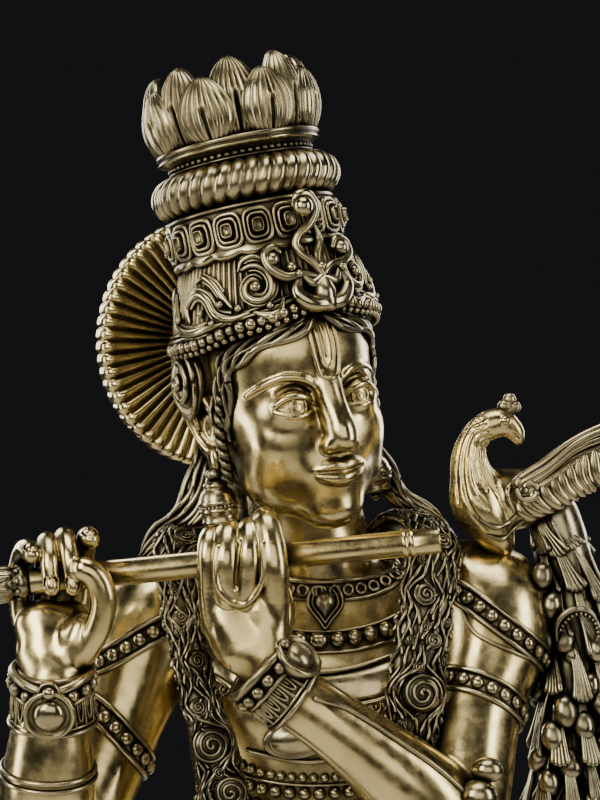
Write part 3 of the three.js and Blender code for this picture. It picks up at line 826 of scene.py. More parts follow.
def make_head():
    HEAD_CLAY.made("head_casting", POLISHED, nodes=["head"])
    # Raised forehead mark: one U inside another, around a short bar.
    mark = Soup(HEAD)
    for half, foot, radius in ((5.8, 10.6, 1.0), (3.0, 15.0, 0.85)):
        side = [(-half - 0.6, 38), (-half - 0.3, 30), (-half, 21), (-half * 0.72, foot + 2.0), (0, foot)]
        line = side + [(-x, z) for x, z in side[-2::-1]]
        mark.tube(arc_on(HEAD_CLAY, line, 0.1, 60), radius, 10)
    mark.tube(arc_on(HEAD_CLAY, [(0, 38), (0, 30), (0, 20.0)], 0.0, 20), 0.8, 10)
    finish_soup(mark, "forehead_mark", POLISHED)
    make_eyes()


# --- Crown, cap, halo and hair, in the head's frame ---


def petal_ring(soup, count, radius, foot, tall, wide, lean, phase=0.0):
    """Lotus petals standing round the Z axis; lean is in degrees."""
    soup.stamp(PETAL, spin(count, radius, foot, (wide, tall * 0.55, tall), radians(lean), phase))


def veined_petal(rows=26, columns=41, lines=4.5, foot=0.05):
    """A closed lotus petal one unit tall: egg-shaped, domed outward, with a rim and arching veins."""
    t = np.linspace(0, 1, rows)[:, None]
    s = np.linspace(-1, 1, columns)[None]
    width = 0.48 * np.sin(pi * (0.05 + 0.95 * t**0.95)) ** 0.6 * (1 - foot * t) + 0.004
    width = np.maximum(width, 0.012)
    x = s * width
    dome = 0.40 * np.sin(pi * (0.08 + 0.92 * t)) ** 0.55
    fade = np.sin(pi * np.clip(t, 0.02, 0.98)) ** 0.4
    vein = 0.078 * np.abs(np.sin(pi * np.abs(s) * lines)) ** 0.9 * fade
    stem = 0.05 * np.exp(-((s / 0.16) ** 2) - (((t - 0.58) / 0.06) ** 2))
    stem = stem - 0.10 * np.exp(-((s / 0.07) ** 2)) * np.clip((0.6 - t) / 0.1, 0, 1)
    rim = 0.045 * np.exp(-(((np.abs(s) - 0.95) / 0.06) ** 2)) * fade
    y = dome * np.clip(1 - 0.98 * s**2, 0, 1) ** 0.5 + vein + rim + stem
    z = t + 0 * s
    front = np.stack([x, y, z], axis=-1)
    back = np.stack([x * 0.97, np.minimum(y, dome * 0.5) - 0.12, z], axis=-1)
    soup = Soup()
    soup.skin(np.concatenate([front, back[:, ::-1]], axis=1)[:, ::-1])
    return soup.shape()


PETAL = veined_petal()


def make_crown():
    lotus = Soup(CROWN)
    lotus.turn(
        [
            (29, 50.5), (31.5, 50.8), (32, 51.6), (30.4, 52.2), (30.2, 54.4), (33.4, 55.6),
            (35.4, 56.2), (35.8, 57.0), (34.6, 57.6), (34.8, 58.4), (36.4, 59), (36.0, 60.2),
            (32, 61), (24, 62), (24, 64), (1, 65),
        ],
        96,
    )
    bead_row(lotus, circle(30.9, 53.2, 80), 1.35, step=3.3)
    petal_ring(lotus, 8, 27.5, 57.5, 37.5, 27.0, 3, phase=0.5)
    petal_ring(lotus, 8, 30.5, 58.0, 30.0, 28.0, 8)
    lotus.turn(
        [(22, 60), (24, 70), (20, 78), (10, 80), (1, 80.5)], 40,
        lambda r, z, a: 0.5 * np.cos(16 * a),
    )
    for ring in range(4):
        bead_row(lotus, circle(4 + 4.6 * ring, 80 - 0.4 * ring**2, 48), 1.5, step=4.2)
    finish_soup(lotus, "crown_lotus_cup", ANTIQUE, nodes=["crown_lotus"])

    ring = Soup(CROWN)
    big, lobes = 32.2, 38
    turn = np.linspace(0, tau, lobes * 18, endpoint=False)
    girth = np.linspace(0, tau, 36, endpoint=False)
    lean = 0.07 * np.sin(girth)[None]
    swell = 0.84 + 0.16 * np.abs(np.cos((turn[:, None] - lean) * lobes / 2)) ** 0.85
    r = 9.9 * swell
    radius = big + r * np.cos(girth)[None]
    angle = turn[:, None]
    rows = [radius * np.cos(angle), radius * np.sin(angle), 41.0 + r * np.sin(girth)[None] * 0.95]
    ring.ring(np.stack(rows, axis=-1))
    finish_soup(ring, "crown_ribbed_ring", ANTIQUE, nodes=["crown_ring"])

    band = Soup(CROWN)
    a = np.linspace(0, tau, 256, endpoint=False)
    lip = 1.5 * np.abs(np.cos(a * 9.0)) ** 0.8
    profile = [
        (30, 10.5, 0), (35.4, 9.4, 1), (37.4, 10.6, 1), (37.6, 12.4, 1), (36.2, 13.8, 0.5),
        (37.0, 20, 0), (36.0, 27, 0), (35.6, 28.6, 0), (35.2, 30.6, 0), (33.6, 31.6, 0),
        (28, 31.8, 0),
    ]
    rows = [
        np.stack(
            [(r0 + 0.5 * k * lip) * np.cos(a), (r0 + 0.5 * k * lip) * np.sin(a), z0 - k * lip],
            axis=1,
        )
        for r0, z0, k in profile
    ]
    band.skin(np.array(rows))
    block = Soup()
    for size, height in ((1.0, 0.30), (0.72, 0.55), (0.40, 0.95)):
        corner = np.linspace(0, tau, 32, endpoint=False)
        square = np.stack(
            [
                np.sign(np.cos(corner)) * np.abs(np.cos(corner)) ** 0.6,
                np.sign(np.sin(corner)) * np.abs(np.sin(corner)) ** 0.6 * 1.22,
            ],
            axis=1,
        )
        steps = (
            (1.0, -0.5), (1.0, height * 0.55), (0.95, height * 0.9), (0.87, height),
            (0.78, height - 0.06), (0.72, height - 0.30),
        )
        block.skin([np.column_stack([square * size * k, np.full(32, h)]) for k, h in steps])
    block_shape = block.shape()
    for i in range(18):
        b = tau * (i + 0.25) / 18
        m = (
            Matrix.Rotation(b, 4, "Z")
            @ Matrix.Translation((36.9, 0, 20.4))
            @ Matrix.Rotation(pi / 2, 4, "Y")
            @ Matrix.Rotation(pi / 2, 4, "Z")
        )
        band.stamp(block_shape, [np.array(m @ Matrix.Diagonal((6.5, 6.6, 4.4, 1)))])
    band.tube(circle(35.4, 30.4, 120), 1.15, 8, closed=True)
    finish_soup(band, "crown_block_band", ANTIQUE, nodes=["crown_band"])


CAP_AXIS = np.array([0, 3.5, 0])


def cap_radius(z):
    """Radius of the cap at a height in the head's frame."""
    return np.interp(z, [22, 30, 40, 52, 62, 70], [44.0, 44.6, 43.6, 40.6, 37.6, 35.2])


def on_cap(angle, z, lift=0.0):
    """A point on the cap; angle 0 faces forward and grows towards the figure's left."""
    r = cap_radius(z) + lift
    return np.stack([r * np.sin(angle), CAP_AXIS[1] - r * np.cos(angle), z + 0 * r], axis=-1)


def off_cap(points):
    """Level directions outward from the cap's axis to points."""
    return (points - CAP_AXIS) * [1, 1, 0]


def cap_tube(soup, points, radii, lift=0.6, sides=10, count=48):
    """A tube laid on the cap through (degrees, height) points."""
    size = np.broadcast_to(radii, len(points))
    rise = np.broadcast_to(lift, len(points))
    fine = spline([(*p, r, h) for p, r, h in zip(points, size, rise)], count)
    path = on_cap(np.radians(fine[:, 0]), fine[:, 1], fine[:, 3])
    soup.tube(path, fine[:, 2], sides, up=unit(off_cap(path)))


def volute(centre, size, turns, start, sign):
    """Points (degrees, height) of a spiral on the cap."""
    t = np.linspace(0, 1, 26)
    r = size * (1 - 0.80 * t)
    a = start + sign * tau * turns * t
    return [(centre[0] + q * cos(b) / 0.75, centre[1] + q * sin(b)) for q, b in zip(r, a)]


def brow_height(angle):
    """Height of the browband; angle 0 faces forward."""
    return np.interp(
        np.abs(angle), np.radians([0, 12, 30, 50, 75, 110, 180]),
        [45.5, 43.0, 39.5, 37.0, 32.0, 29.5, 29.5],
    )


def make_cap():
    cap = Soup(HEAD)
    angle = np.linspace(0, tau, 90 * 8, endpoint=False)
    ridge = 1.15 * np.abs(np.cos(angle * 45)) ** 1.3
    wrapped = np.where(angle > pi, angle - tau, angle)
    foot = brow_height(wrapped) - 2.0
    rows = []
    for k in range(42):
        f = max(0.0, (k - 1) / 40)
        lift = ridge if 0 < k < 41 else ridge * 0 - 12
        rows.append(on_cap(angle, foot + (70.4 - foot) * min(f, 1), lift - 0.8))
    cap.skin(np.array(rows)[:, ::-1])
    finish_soup(cap, "cap_ribbed", ANTIQUE, nodes=["hair_cap"])

    scrolls = Soup(HEAD)

    def leaf_scroll(points, thick, lift=1.2, count=44):
        """An acanthus lobe: a thick stroke with a thinner one riding on each side."""
        table = np.array(points, float)
        radii = thick * ramp(len(table), [0, 0.25, 0.7, 1], [0.45, 1, 0.95, 0.4])
        cap_tube(scrolls, points, radii, lift, 10, count)
        along = np.gradient(table, axis=0)
        side = np.stack([-along[:, 1] / 0.75, along[:, 0] * 0.75], axis=1)
        side /= np.maximum(np.linalg.norm(side * [0.75, 1], axis=1, keepdims=True), 1e-6)
        for way in (-1, 1):
            off = table + way * side * thick * 1.15
            cap_tube(scrolls, off[1:-1], radii[1:-1] * 0.52, lift * 0.7, 8, count)

    for s in (-1, 1):
        leaf_scroll(volute((s * 35, 53.5), 9.6, 1.25, start=pi / 2 - s * 0.6, sign=s), 1.8, 1.8, 60)
        cap_tube(
            scrolls, volute((s * 35, 53.5), 12.8, 0.55, start=pi / 2 - s * 0.2, sign=s),
            np.linspace(1.0, 1.5, 26), 0.9,
        )
        scrolls.stamp(
            bead_shape(14, 9),
            placed(
                on_cap(np.radians([s * 35.0]), np.array([53.5]), 2.2), [[s * 0.5, -1, 0]],
                (0, 0, 1), 2.6,
            ),
        )
        leaf_scroll(
            [
                (s * 40, 43), (s * 51, 41.5), (s * 60, 44), (s * 67, 51), (s * 76, 53),
                (s * 83, 48), (s * 80, 42),
            ],
            2.0, 1.6,
        )
        leaf_scroll([(s * 56, 40), (s * 66, 38.5), (s * 78, 37), (s * 90, 39), (s * 100, 46)], 2.0, 1.5)
        leaf_scroll([(s * 50, 46), (s * 57, 52), (s * 63, 57), (s * 71, 60), (s * 77, 58)], 1.5, 1.2)
        leaf_scroll([(s * 86, 36), (s * 96, 42), (s * 104, 52), (s * 116, 56)], 1.6, 1.0)
        leaf_scroll([(s * 20, 47), (s * 24, 41.5), (s * 31, 41), (s * 37, 43)], 1.9, 1.8)
        leaf_scroll([(s * 21, 58), (s * 26, 63), (s * 34, 66.5), (s * 42, 65), (s * 45, 61)], 1.4, 1.4)
        for a, h in ((57, 48), (70, 45), (46, 45.5), (62, 40.5), (90, 43), (28, 45)):
            spot = on_cap(np.radians([s * float(a)]), np.array([float(h)]), 2.4)
            scrolls.stamp(bead_shape(12, 8), placed(spot, [[s, -1, 0]], (0, 0, 1), 1.7))

    def front(points, radii, lift, count=40):
        cap_tube(scrolls, points, radii, lift, 12, count)

    def ball(angle, height, lift, size):
        spot = on_cap(np.radians([float(angle)]), np.array([float(height)]), lift)
        scrolls.stamp(bead_shape(18, 12), placed(spot, off_cap(spot), (0, 0, 1), size))

    front([(4, 42), (3, 47), (4, 53)], [4.2, 5.4, 3.6], 3.6, 16)
    front([(-9, 56), (-12, 49), (-6, 43.5), (3, 42.5)], [1.6, 3.0, 3.8, 3.4], 3.8, 24)
    front([(17, 56), (20, 49), (13, 43.5), (5, 42.5)], [1.6, 3.0, 3.6, 3.4], 3.8, 24)
    front([(-8, 56), (-3, 51.5), (4, 53.5), (11, 51.5), (16, 56)], [1.1, 2.2, 2.4, 2.2, 1.1], 5.0, 30)
    front([(4, 54), (0, 60), (-7, 66), (-6, 72), (3, 77), (7, 83), (3, 89), (-4, 89.5), (-7, 85.5)],
          [2.2, 2.1, 2.0, 1.9, 2.0, 2.1, 2.1, 1.8, 1.0], [5.2, 5.4, 5.6, 6, 6.6, 7.5, 8.5, 9, 8.6], 70)
    front([(5, 55), (12, 58), (22, 59), (30, 62), (30, 67), (23, 68.5), (18, 65.5)],
          [2.0, 2.0, 2.1, 2.3, 2.1, 1.9, 1.2], 5.0, 56)
    front(
        [(1, 54), (-9, 56), (-17, 56), (-24, 60), (-27, 66), (-22, 69), (-18, 66.5)],
        [1.8, 2.1, 2.3, 2.3, 2.1, 1.8, 1.2], 4.4, 50,
    )
    front([(4, 56), (6, 63), (11, 69), (9, 76)], [1.6, 2.0, 1.8, 0.8], 3.4, 26)
    ball(-2, 84.5, 9.5, 4.4)
    ball(24, 64.5, 5.4, 3.4)
    ball(-23, 64, 4.6, 3.2)
    ball(-13, 59.5, 4.6, 2.6)
    ball(4, 58, 6.2, 2.2)
    for a in (-10, 18):
        ball(a, 56.5, 6.0, 1.9)
    finish_soup(scrolls, "cap_scrollwork", ANTIQUE, nodes=["crest"])

    # Browband: round stones hung in two swags between the crest and the temples.
    brow = Soup(HEAD)
    a = np.linspace(-pi, pi, 241)[:-1]
    height = smooth_ring(brow_height(a), 4)
    for offset, radius, lift in ((3.4, 1.1, 1.0), (5.6, 0.7, 0.8)):
        brow.tube(on_cap(a, height + offset, lift), radius, 8, closed=True)
    grid = np.stack(
        [
            on_cap(a, height + dz, lift)
            for dz, lift in ((-3.0, -12), (-2.8, 0.5), (3.2, 0.7), (3.4, -2))
        ],
        axis=1,
    )
    brow.ring(grid[:, ::-1])
    loop = np.vstack([on_cap(a, height, 1.6), on_cap(a[:1], height[:1], 1.6)])
    spots = even(loop, 4.9)[:-1]
    sizes = 2.6 + 0.35 * np.sin(np.arange(len(spots)) * 2.3)
    stone = bead_shape(9, 6, 0.85)
    brow.stamp(stone, placed(spots, off_cap(spots), (0, 0, 1), sizes))
    low = np.vstack([on_cap(a, height - 3.3, 0.9), on_cap(a[:1], height[:1] - 3.3, 0.9)])
    spots = even(low, 4.1)[:-1]
    brow.stamp(stone, placed(spots, off_cap(spots), (0, 0, 1), 1.6))
    for s in (-1, 1):
        disc = Soup()
        disc.turn(
            [
                (1, -0.4), (1.02, 0.1), (0.92, 0.3), (0.8, 0.2), (0.72, 0.22), (0.6, 0.5),
                (0.3, 0.72), (0.04, 0.78),
            ],
            32,
        )
        at = np.array([[s * 43.0, 9.0, 15.0]])
        brow.stamp(disc.shape(), placed(at, [[s, -0.35, 0.1]], (0, 0, 1), [[14.5, 9.0, 6.0]]))
        t = np.linspace(0, tau, 40, endpoint=False)
        rim = np.stack([0 * t + s * 44.6, 9 + 9.4 * np.cos(t), 15 + 14.6 * np.sin(t)], axis=1)
        brow.tube(rim, 1.1, 8, closed=True)
        t = np.linspace(0, 1, 40)
        curl = np.stack(
            [
                s * (46 + 2.5 * t), 8.5 + 6.8 * (1 - 0.8 * t) * np.cos(tau * 1.4 * t + 1),
                15 + 10.5 * (1 - 0.8 * t) * np.sin(tau * 1.4 * t + 1),
            ],
            axis=1,
        )
        brow.tube(curl, np.interp(t, [0, 0.2, 1], [0.6, 1.5, 1.3]), 8)
        brow.stamp(BEAD, placed(np.array([(s * 48.0, 8.5, 15)]), [[s, -0.3, 0]], (0, 0, 1), [2.6]))
    finish_soup(brow, "browband_stones", ANTIQUE, nodes=["browband"])


def make_halo():
    # This frame's +Z points to the face side.
    halo = Soup(HEAD @ frame_at((0, 63, 28), Matrix.Rotation(pi / 2, 4, "X")))
    ribs = 60
    a = np.linspace(0, tau, ribs * 8, endpoint=False)[None]
    bump = np.abs(np.cos(a * ribs / 2)) ** 0.55

    def face(r, way):
        inner = np.clip((r - 22) / 3, 0, 1) * np.clip((57.2 - r) / 2.2, 0, 1)
        bowl = 3.2 - 2.6 * np.clip((40 - r) / 40, 0, 1) + 0.8 * np.clip((r - 40) / 17, 0, 1)
        return way * (bowl - 1.2 * inner + 3.3 * inner * bump)

    # Radii from the middle out over the face side, then back in over the rear.
    profile = [(r, 1) for r in (0.5, 8, 16, 20, 22, *np.linspace(23, 57, 14))]
    profile += [(r, -1) for r in (*np.linspace(57, 23, 14), 20, 10, 0.5)]
    grid = []
    for r, way in profile:
        reach = r + (0.9 * (bump - 0.5) if r > 50 else 0 * bump)
        grid.append(np.stack([reach * np.cos(a), reach * np.sin(a), face(r, way) + 0 * a], axis=-1)[0])
    halo.skin(np.array(grid)[::-1])
    for r, h in ((21.0, 3.4), (18.2, 3.0)):
        halo.tube(circle(r, h, 90), 1.2, 8, closed=True)
        halo.tube(circle(r, -h, 90), 1.2, 8, closed=True)
    for way in (1, -1):
        bead_row(halo, circle(14.4, way * 2.6, 60), 1.6, step=3.6)
        halo.stamp(
            veined_petal(10, 13),
            spin(8, 2.0, way * 2.4, (6.5, 3.0 * way, 9.0), lean=way * radians(82)),
        )
    finish_soup(halo, "halo_ribbed_disc", POLISHED, body="halo", nodes=["halo_disc"])


def strand_bundle(
    soup, path, width, depth, count, radius, waves=2.0, wobble=0.6, up=(0, -1, 0), seed=0,
    taper=0.35,
):
    """Locks of hair: strands side by side along a path, weaving a little."""
    local = np.random.default_rng(seed)
    path = even(spline(path, 60), 1.6)
    n = len(path)
    t = np.linspace(0, 1, n)
    along = tangents(path)
    side = unit(np.cross(along, np.broadcast_to(np.asarray(up, float), along.shape)))
    lift = np.cross(side, along)
    open_ = np.interp(t, [0, 0.25, 0.75, 1], [0.75, 1, 1, taper])
    for i in range(count):
        u = (i + 0.5) / count * 2 - 1
        phase = local.uniform(0, tau)
        sway = wobble * np.sin(tau * waves * t + phase)
        x = (u * width + sway) * open_
        y = depth * np.sqrt(max(0.0, 1 - u * u * 0.85)) * open_
        y = y + 0.5 * wobble * np.cos(tau * waves * t + phase)
        r = radius * np.interp(t, [0, 0.1, 0.85, 1], [0.8, 1, 0.9, 0.35])
        soup.tube(path + side * x[:, None] + lift * y[:, None], r, 7)


def make_fringe():
    fringe = Soup(HEAD)
    line = [(3, 42), (14, 39.5), (30, 36), (46, 33), (60, 28.5), (70, 22), (76, 12), (79, 0), (80, -12)]
    for s in (-1, 1):
        for k in range(6):
            t = np.linspace(0, 1, 80)
            fine = spline(line, 80)
            along = tangents(fine * [0.6, 1])
            inward = np.stack([along[:, 1], -along[:, 0]], axis=1)
            gap = (0.2 + 1.5 * k) * np.interp(t, [0, 0.12, 0.8, 1], [0.5, 1, 1, 0.7])
            sway = 1.3 * np.sin(t * 21 + k * 2.1)
            flat = fine + inward * (gap + sway)[:, None] * [1 / 0.6, 1]
            raw = on_cap(np.radians(s * flat[:, 0]), flat[:, 1], -3)
            path, normals = HEAD_CLAY.snap(raw, 0.5)
            padded = np.pad(path, ((3, 3), (0, 0)), "edge")
            path = np.stack([np.convolve(padded[:, c], np.ones(7) / 7, "valid") for c in range(3)], axis=1)
            path = path + normals * (0.6 + 0.8 * np.cos(t * 21 + k * 2.1))[:, None]
            fringe.tube(path, (1.35 + 0.5 * (k % 2)) * np.interp(t, [0, 0.06, 0.9, 1], [0.6, 1, 1, 0.5]), 8)
        rope = spline(
            [
                (s * 35.5, -11, 14), (s * 37.5, -8, 4), (s * 38.6, -6.5, -8),
                (s * 37.6, -6, -20), (s * 36.0, -5, -30),
            ],
            60,
        )
        t = np.linspace(0, 1, 60)
        for k in range(2):
            a = t * tau * 5 + k * pi
            width = np.interp(t, [0, 0.15, 0.85, 1], [1.3, 1.7, 1.6, 0.6])
            path = rope + np.stack([s * np.sin(a) * width * 0.6, np.cos(a) * width, 0 * a], axis=1)
            fringe.tube(path, np.interp(t, [0, 0.9, 1], [1.8, 1.7, 0.7]), 8)
    finish_soup(fringe, "hair_fringe", DARK)


def make_hair():
    make_fringe()
    back = Soup()
    core = Clay((-64, -14, 600), (40, 70, 800), 1.2)
    middle = HEAD @ Vector((0, 12, 2))
    core.oval(middle, (39, 39, 43), 3)
    core.worm([(-30, 22, 722), (-16, 33, 696), (-5, 38, 664), (-2, 38, 622)], [20, 18, 14, 5], 5, count=20)
    core.made("hair_mass", DARK, nodes=["hair_back"])
    for i in range(9):
        u = (i - 4) / 4
        strand_bundle(
            back,
            [
                (-29 + 27 * u, 44 - 8 * u * u, 742), (-22 + 24 * u, 47 - 8 * u * u, 715),
                (-11 + 20 * u, 49 - 7 * u * u, 685), (-5 + 15 * u, 47 - 5 * u * u, 655),
                (-2 + 9 * u, 43 - 3 * u * u, 626), (-2 + 3 * u, 41, 611),
            ],
            4.2, 1.5, 4, 1.5, 2.5, 0.7, up=(0, 1, 0), seed=i,
        )
    finish_soup(back, "hair_back_locks", DARK)

    for name, path, width, seed in (
        (
            "hair_lock_right",
            [
                (-49, 2, 727), (-52, -3, 712), (-56, -6, 699), (-64, -4, 689), (-73, 0, 681),
                (-79, 4, 674),
            ],
            6.4, 21,
        ),
        (
            "hair_lock_left",
            [(25, 18, 722), (32, 14, 706), (42, 10, 696), (52, 10, 689), (60, 13, 682)], 5.0,
            22,
        ),
    ):
        lock = Soup()
        strand_bundle(lock, path, width, 2.4, 7, 1.5, 2.2, 0.9, up=(0, -1, 0.3), seed=seed)
        strand_bundle(
            lock, np.array(path) + [0, 3, -1], width * 0.8, -1.5, 5, 1.6, 2.2, 0.7,
            up=(0, -1, 0.3), seed=seed + 5,
        )
        finish_soup(lock, name + "_strands", DARK, nodes=[name])


def make_earrings():
    for name, x in (("earring_right", -39), ("earring_left", 39)):
        bell = Soup(HEAD @ frame_at((x, 4, 0)))
        bell.turn(
            [
                (0.3, -28), (2.4, -27.8), (3.6, -26.3), (3.7, -25.2), (3.4, -23.6),
                (1.8, -22.6), (0.3, -22.4),
            ],
            24,
        )
        bell.turn(
            [
                (2.0, -27.4), (3.4, -28.0), (5.2, -29.0), (5.6, -30.2), (5.0, -31.0),
                (5.8, -31.8), (7.0, -33.0), (7.8, -34.8), (8.2, -36.2), (8.7, -36.8),
                (8.7, -38.0), (8.1, -38.6), (8.1, -39.6), (8.6, -40.2), (8.6, -41.2),
                (8.0, -41.8), (7.8, -44.6), (8.2, -45.2), (8.0, -46.4), (5.6, -46.8),
                (5.0, -44), (0.3, -44),
            ][::-1],
            40,
        )
        bead_row(bell, circle(8.15, -39.1, 40), 0.75, step=1.8)
        bell.stamp(DROP, stretched((0, 0, -51), (2.2, 2.2, 2.6)))
        finish_soup(bell, name + "_bell", ANTIQUE, nodes=[name])


# --- Body, in the world's frame ---


def sculpt_body():
    clay = Clay((-148, -96, 488), (112, 50, 716), 1.4)
    clay.column(
        [
            (488, -1, 3, 40, 30), (510, -3, 2, 39, 29), (535, -4, 2, 42, 30),
            (568, -3, 2, 51, 34), (600, -1, 1, 58, 37), (630, 0, 2, 63, 36),
            (650, 0, 4, 58, 30), (664, -1, 4, 44, 25), (674, -3, 3, 27, 20),
        ],
        4,
    )
    clay.worm([(-1, 3, 664), (-5, -1, 688), (-9, -5, 708)], [24, 20.5, 20.5], 8)
    for s in (-1, 1):
        clay.oval((s * 27 - 2, -22, 612), (27, 15, 21), 9)
        clay.oval((s * 34, 2, 655), (30, 17, 13), 9, turn=(0, s * 12, 0))
        clay.oval((s * 24, 29, 640), (24, 10, 26), 14)
    clay.oval((-4, -24, 540), (24, 9, 28), 12)
    # Left arm: shoulder, upper arm, elbow, forearm.
    clay.worm([(62, 3, 664), (77, 0, 652), (74.5, -11, 634)], [17, 23.5, 20.5], 7)
    clay.worm([(74, -12, 632), (68, -22, 613), (64, -38, 586), (61, -50, 562)], [20.5, 18.2, 17.0, 15.5], 5)
    clay.worm(
        [(62, -51, 561), (50, -57, 571), (36, -61, 584), (6, -67, 608), (-15, -68, 623)],
        [15, 16.5, 17, 13, 11.5], 4,
    )
    # Right arm.
    clay.worm([(-62, 3, 656), (-76, 0, 645), (-84, -6, 622)], [17, 22, 20], 7)
    clay.worm([(-84, -6, 622), (-91, -12, 600), (-102, -24, 570), (-113, -36, 541)], [20, 18.5, 17, 15], 5)
    clay.worm(
        [(-114, -37, 540), (-116, -44, 549), (-116, -55, 576), (-114.5, -62, 598), (-113, -67, 622)],
        [14.5, 17, 18.8, 16.2, 12.0], 4,
    )
    clay.oval((-4, -28, 500), (3.4, 6, 3.0), 3, carve=True)
    return clay


BODY = sculpt_body()


def make_body():
    BODY.made("body_casting", POLISHED, smooth=2,
              nodes=["torso", "neck", "upper_arm_left", "upper_arm_right", "forearm_left", "forearm_right"])
    trim = Soup()
    edge = [(-2, -84, 622), (14, -80, 617), (36, -76, 601), (56, -66, 578), (66, -58, 566)]
    path, _ = BODY.snap(spline(edge, 60), 0.4)
    trim.tube(path, 1.1, 8)
    for z in (590.5, 587):
        ring, _ = BODY.snap(circle_at((-116, -58, z), (0.05, -0.30, 1), 18.4, 96), 0.5)
        trim.tube(smooth_ring(ring), 1.1, 8, closed=True)
    patch = [(62, -14, 680), (58, -24, 662), (66, -30, 645), (84, -26, 634), (99, -12, 634)]
    path, _ = BODY.snap(spline(patch, 60), 0.3)
    trim.tube(path, 0.9, 8)
    for place, size in (
        ((70, -64, 589), (7.0, 6, 5.5)), ((66, -68, 578.5), (8.2, 7, 7)),
        ((60, -70, 570), (5, 4, 4.5)),
    ):
        trim.stamp(bead_shape(20, 14), stretched(place, size))
    finish_soup(trim, "body_trim", ANTIQUE)


def circle_at(centre, axis, radius, count, other=None):
    """A circle about an axis, or an oval if other gives the second radius."""
    axis = unit(axis)
    side = unit(np.cross(axis, (0, 1, 0)))
    front = np.cross(side, axis)
    a = np.linspace(0, tau, count, endpoint=False)[:, None]
    return np.asarray(centre) + np.cos(a) * side * radius + np.sin(a) * front * (other or radius)


def finger(clay, points, radius, nail=None, soft=0.8):
    """A finger: knuckle to tip, with the nail's direction out of the finger if it shows."""
    n = len(points)
    radii = ramp(n, [0, 0.35, 0.75, 1], [1.05, 1.0, 0.98, 0.90]) * radius
    clay.worm(points, radii, soft, count=6 * n)
    if nail is None:
        return
    tip, before = np.array(points[-1], float), np.array(points[-2], float)
    along = unit(tip - before)
    out = unit(np.asarray(nail, float))
    out = unit(out - along * (out @ along))
    side = np.cross(along, out)
    turn = Matrix((side, along, out)).transposed().to_euler()
    turn = tuple(np.degrees(a) for a in turn)
    centre = tip - along * radius * 0.35 + out * radius * 0.62
    clay.oval(centre, (radius * 0.78, radius * 1.10, radius * 0.42), 0.2, carve=True, turn=turn)
    clay.oval(centre + along * 0.3, (radius * 0.60, radius * 0.95, radius * 0.42), 0.15, turn=turn)


def make_left_hand():
    hand = Clay((-62, -92, 612), (0, -36, 706), 0.45)
    hand.worm([(-12, -68, 620), (-22, -69, 634)], [11.5, 11.8], 3)
    hand.oval((-32, -69, 649), (15.5, 8, 18), 6)
    hand.rod((-24, -71, 657), (-21, -71, 640), 7.5, 8.5, 5)
    hand.rod((-42, -69, 656), (-34, -70, 640), 6.5, 8.5, 6)
    hand.oval((-25, -70, 640), (10, 8, 13), 5, turn=(0, -35, 0))
    fingers = (
        (
            [
                (-45.0, -69, 648), (-47.0, -72, 662), (-47.6, -75, 679), (-46.6, -70, 687.5),
                (-45.4, -60, 687.5),
            ],
            3.5, 2.2,
        ),
        (
            [
                (-38.5, -73, 662), (-39.6, -75.5, 671), (-39.8, -76.6, 680),
                (-38.8, -70.5, 688.5), (-37.5, -60, 688.5),
            ],
            5.2, 1.2,
        ),
        (
            [
                (-31.5, -73, 661), (-30.6, -75.5, 671), (-30.4, -76.8, 681),
                (-30.0, -70.5, 690), (-29.5, -60, 690),
            ],
            5.0, 1.2,
        ),
        (
            [
                (-21, -70, 640), (-19.4, -72.5, 658), (-19.8, -77, 677), (-22.6, -72, 691.5),
                (-24.2, -62, 694.5),
            ],
            5.2, 2.2,
        ),
    )
    for points, radius, soft in fingers:
        finger(hand, points, radius, None, soft)
    hand.oval((-24.8, -71.5, 667), (4.5, 5, 13), 3)
    hand.oval((-44.0, -70.5, 667), (3.5, 4.5, 11), 3)
    finger(hand, [(-20, -66, 640), (-16, -58, 652), (-18, -54, 664), (-24, -54, 672)], 4.2, None, 2.0)
    seam = hand.snap(np.array([(-35.1, -84, z) for z in (666, 672, 678, 684, 688)]), 0.0)[0]
    hand.worm(seam, 0.6, 0.8, carve=True, count=40)
    cup = [
        (-45.0, -82, 685), (-45.4, -82, 674), (-43.4, -82, 664.5), (-35, -82, 658.6),
        (-27, -82, 662.5), (-25, -82, 672), (-25.2, -82, 686),
    ]
    trail = hand.snap(np.array(cup, float), 0.3)[0]
    hand.worm(trail, 0.8, 1.0, count=70)
    hand.rod(FLUTE_FOOT, FLUTE_HEAD, FLUTE_BORE, FLUTE_BORE, 0.3, carve=True)
    hand.made("hand_left_casting", POLISHED, smooth=1, nodes=["hand_left"])


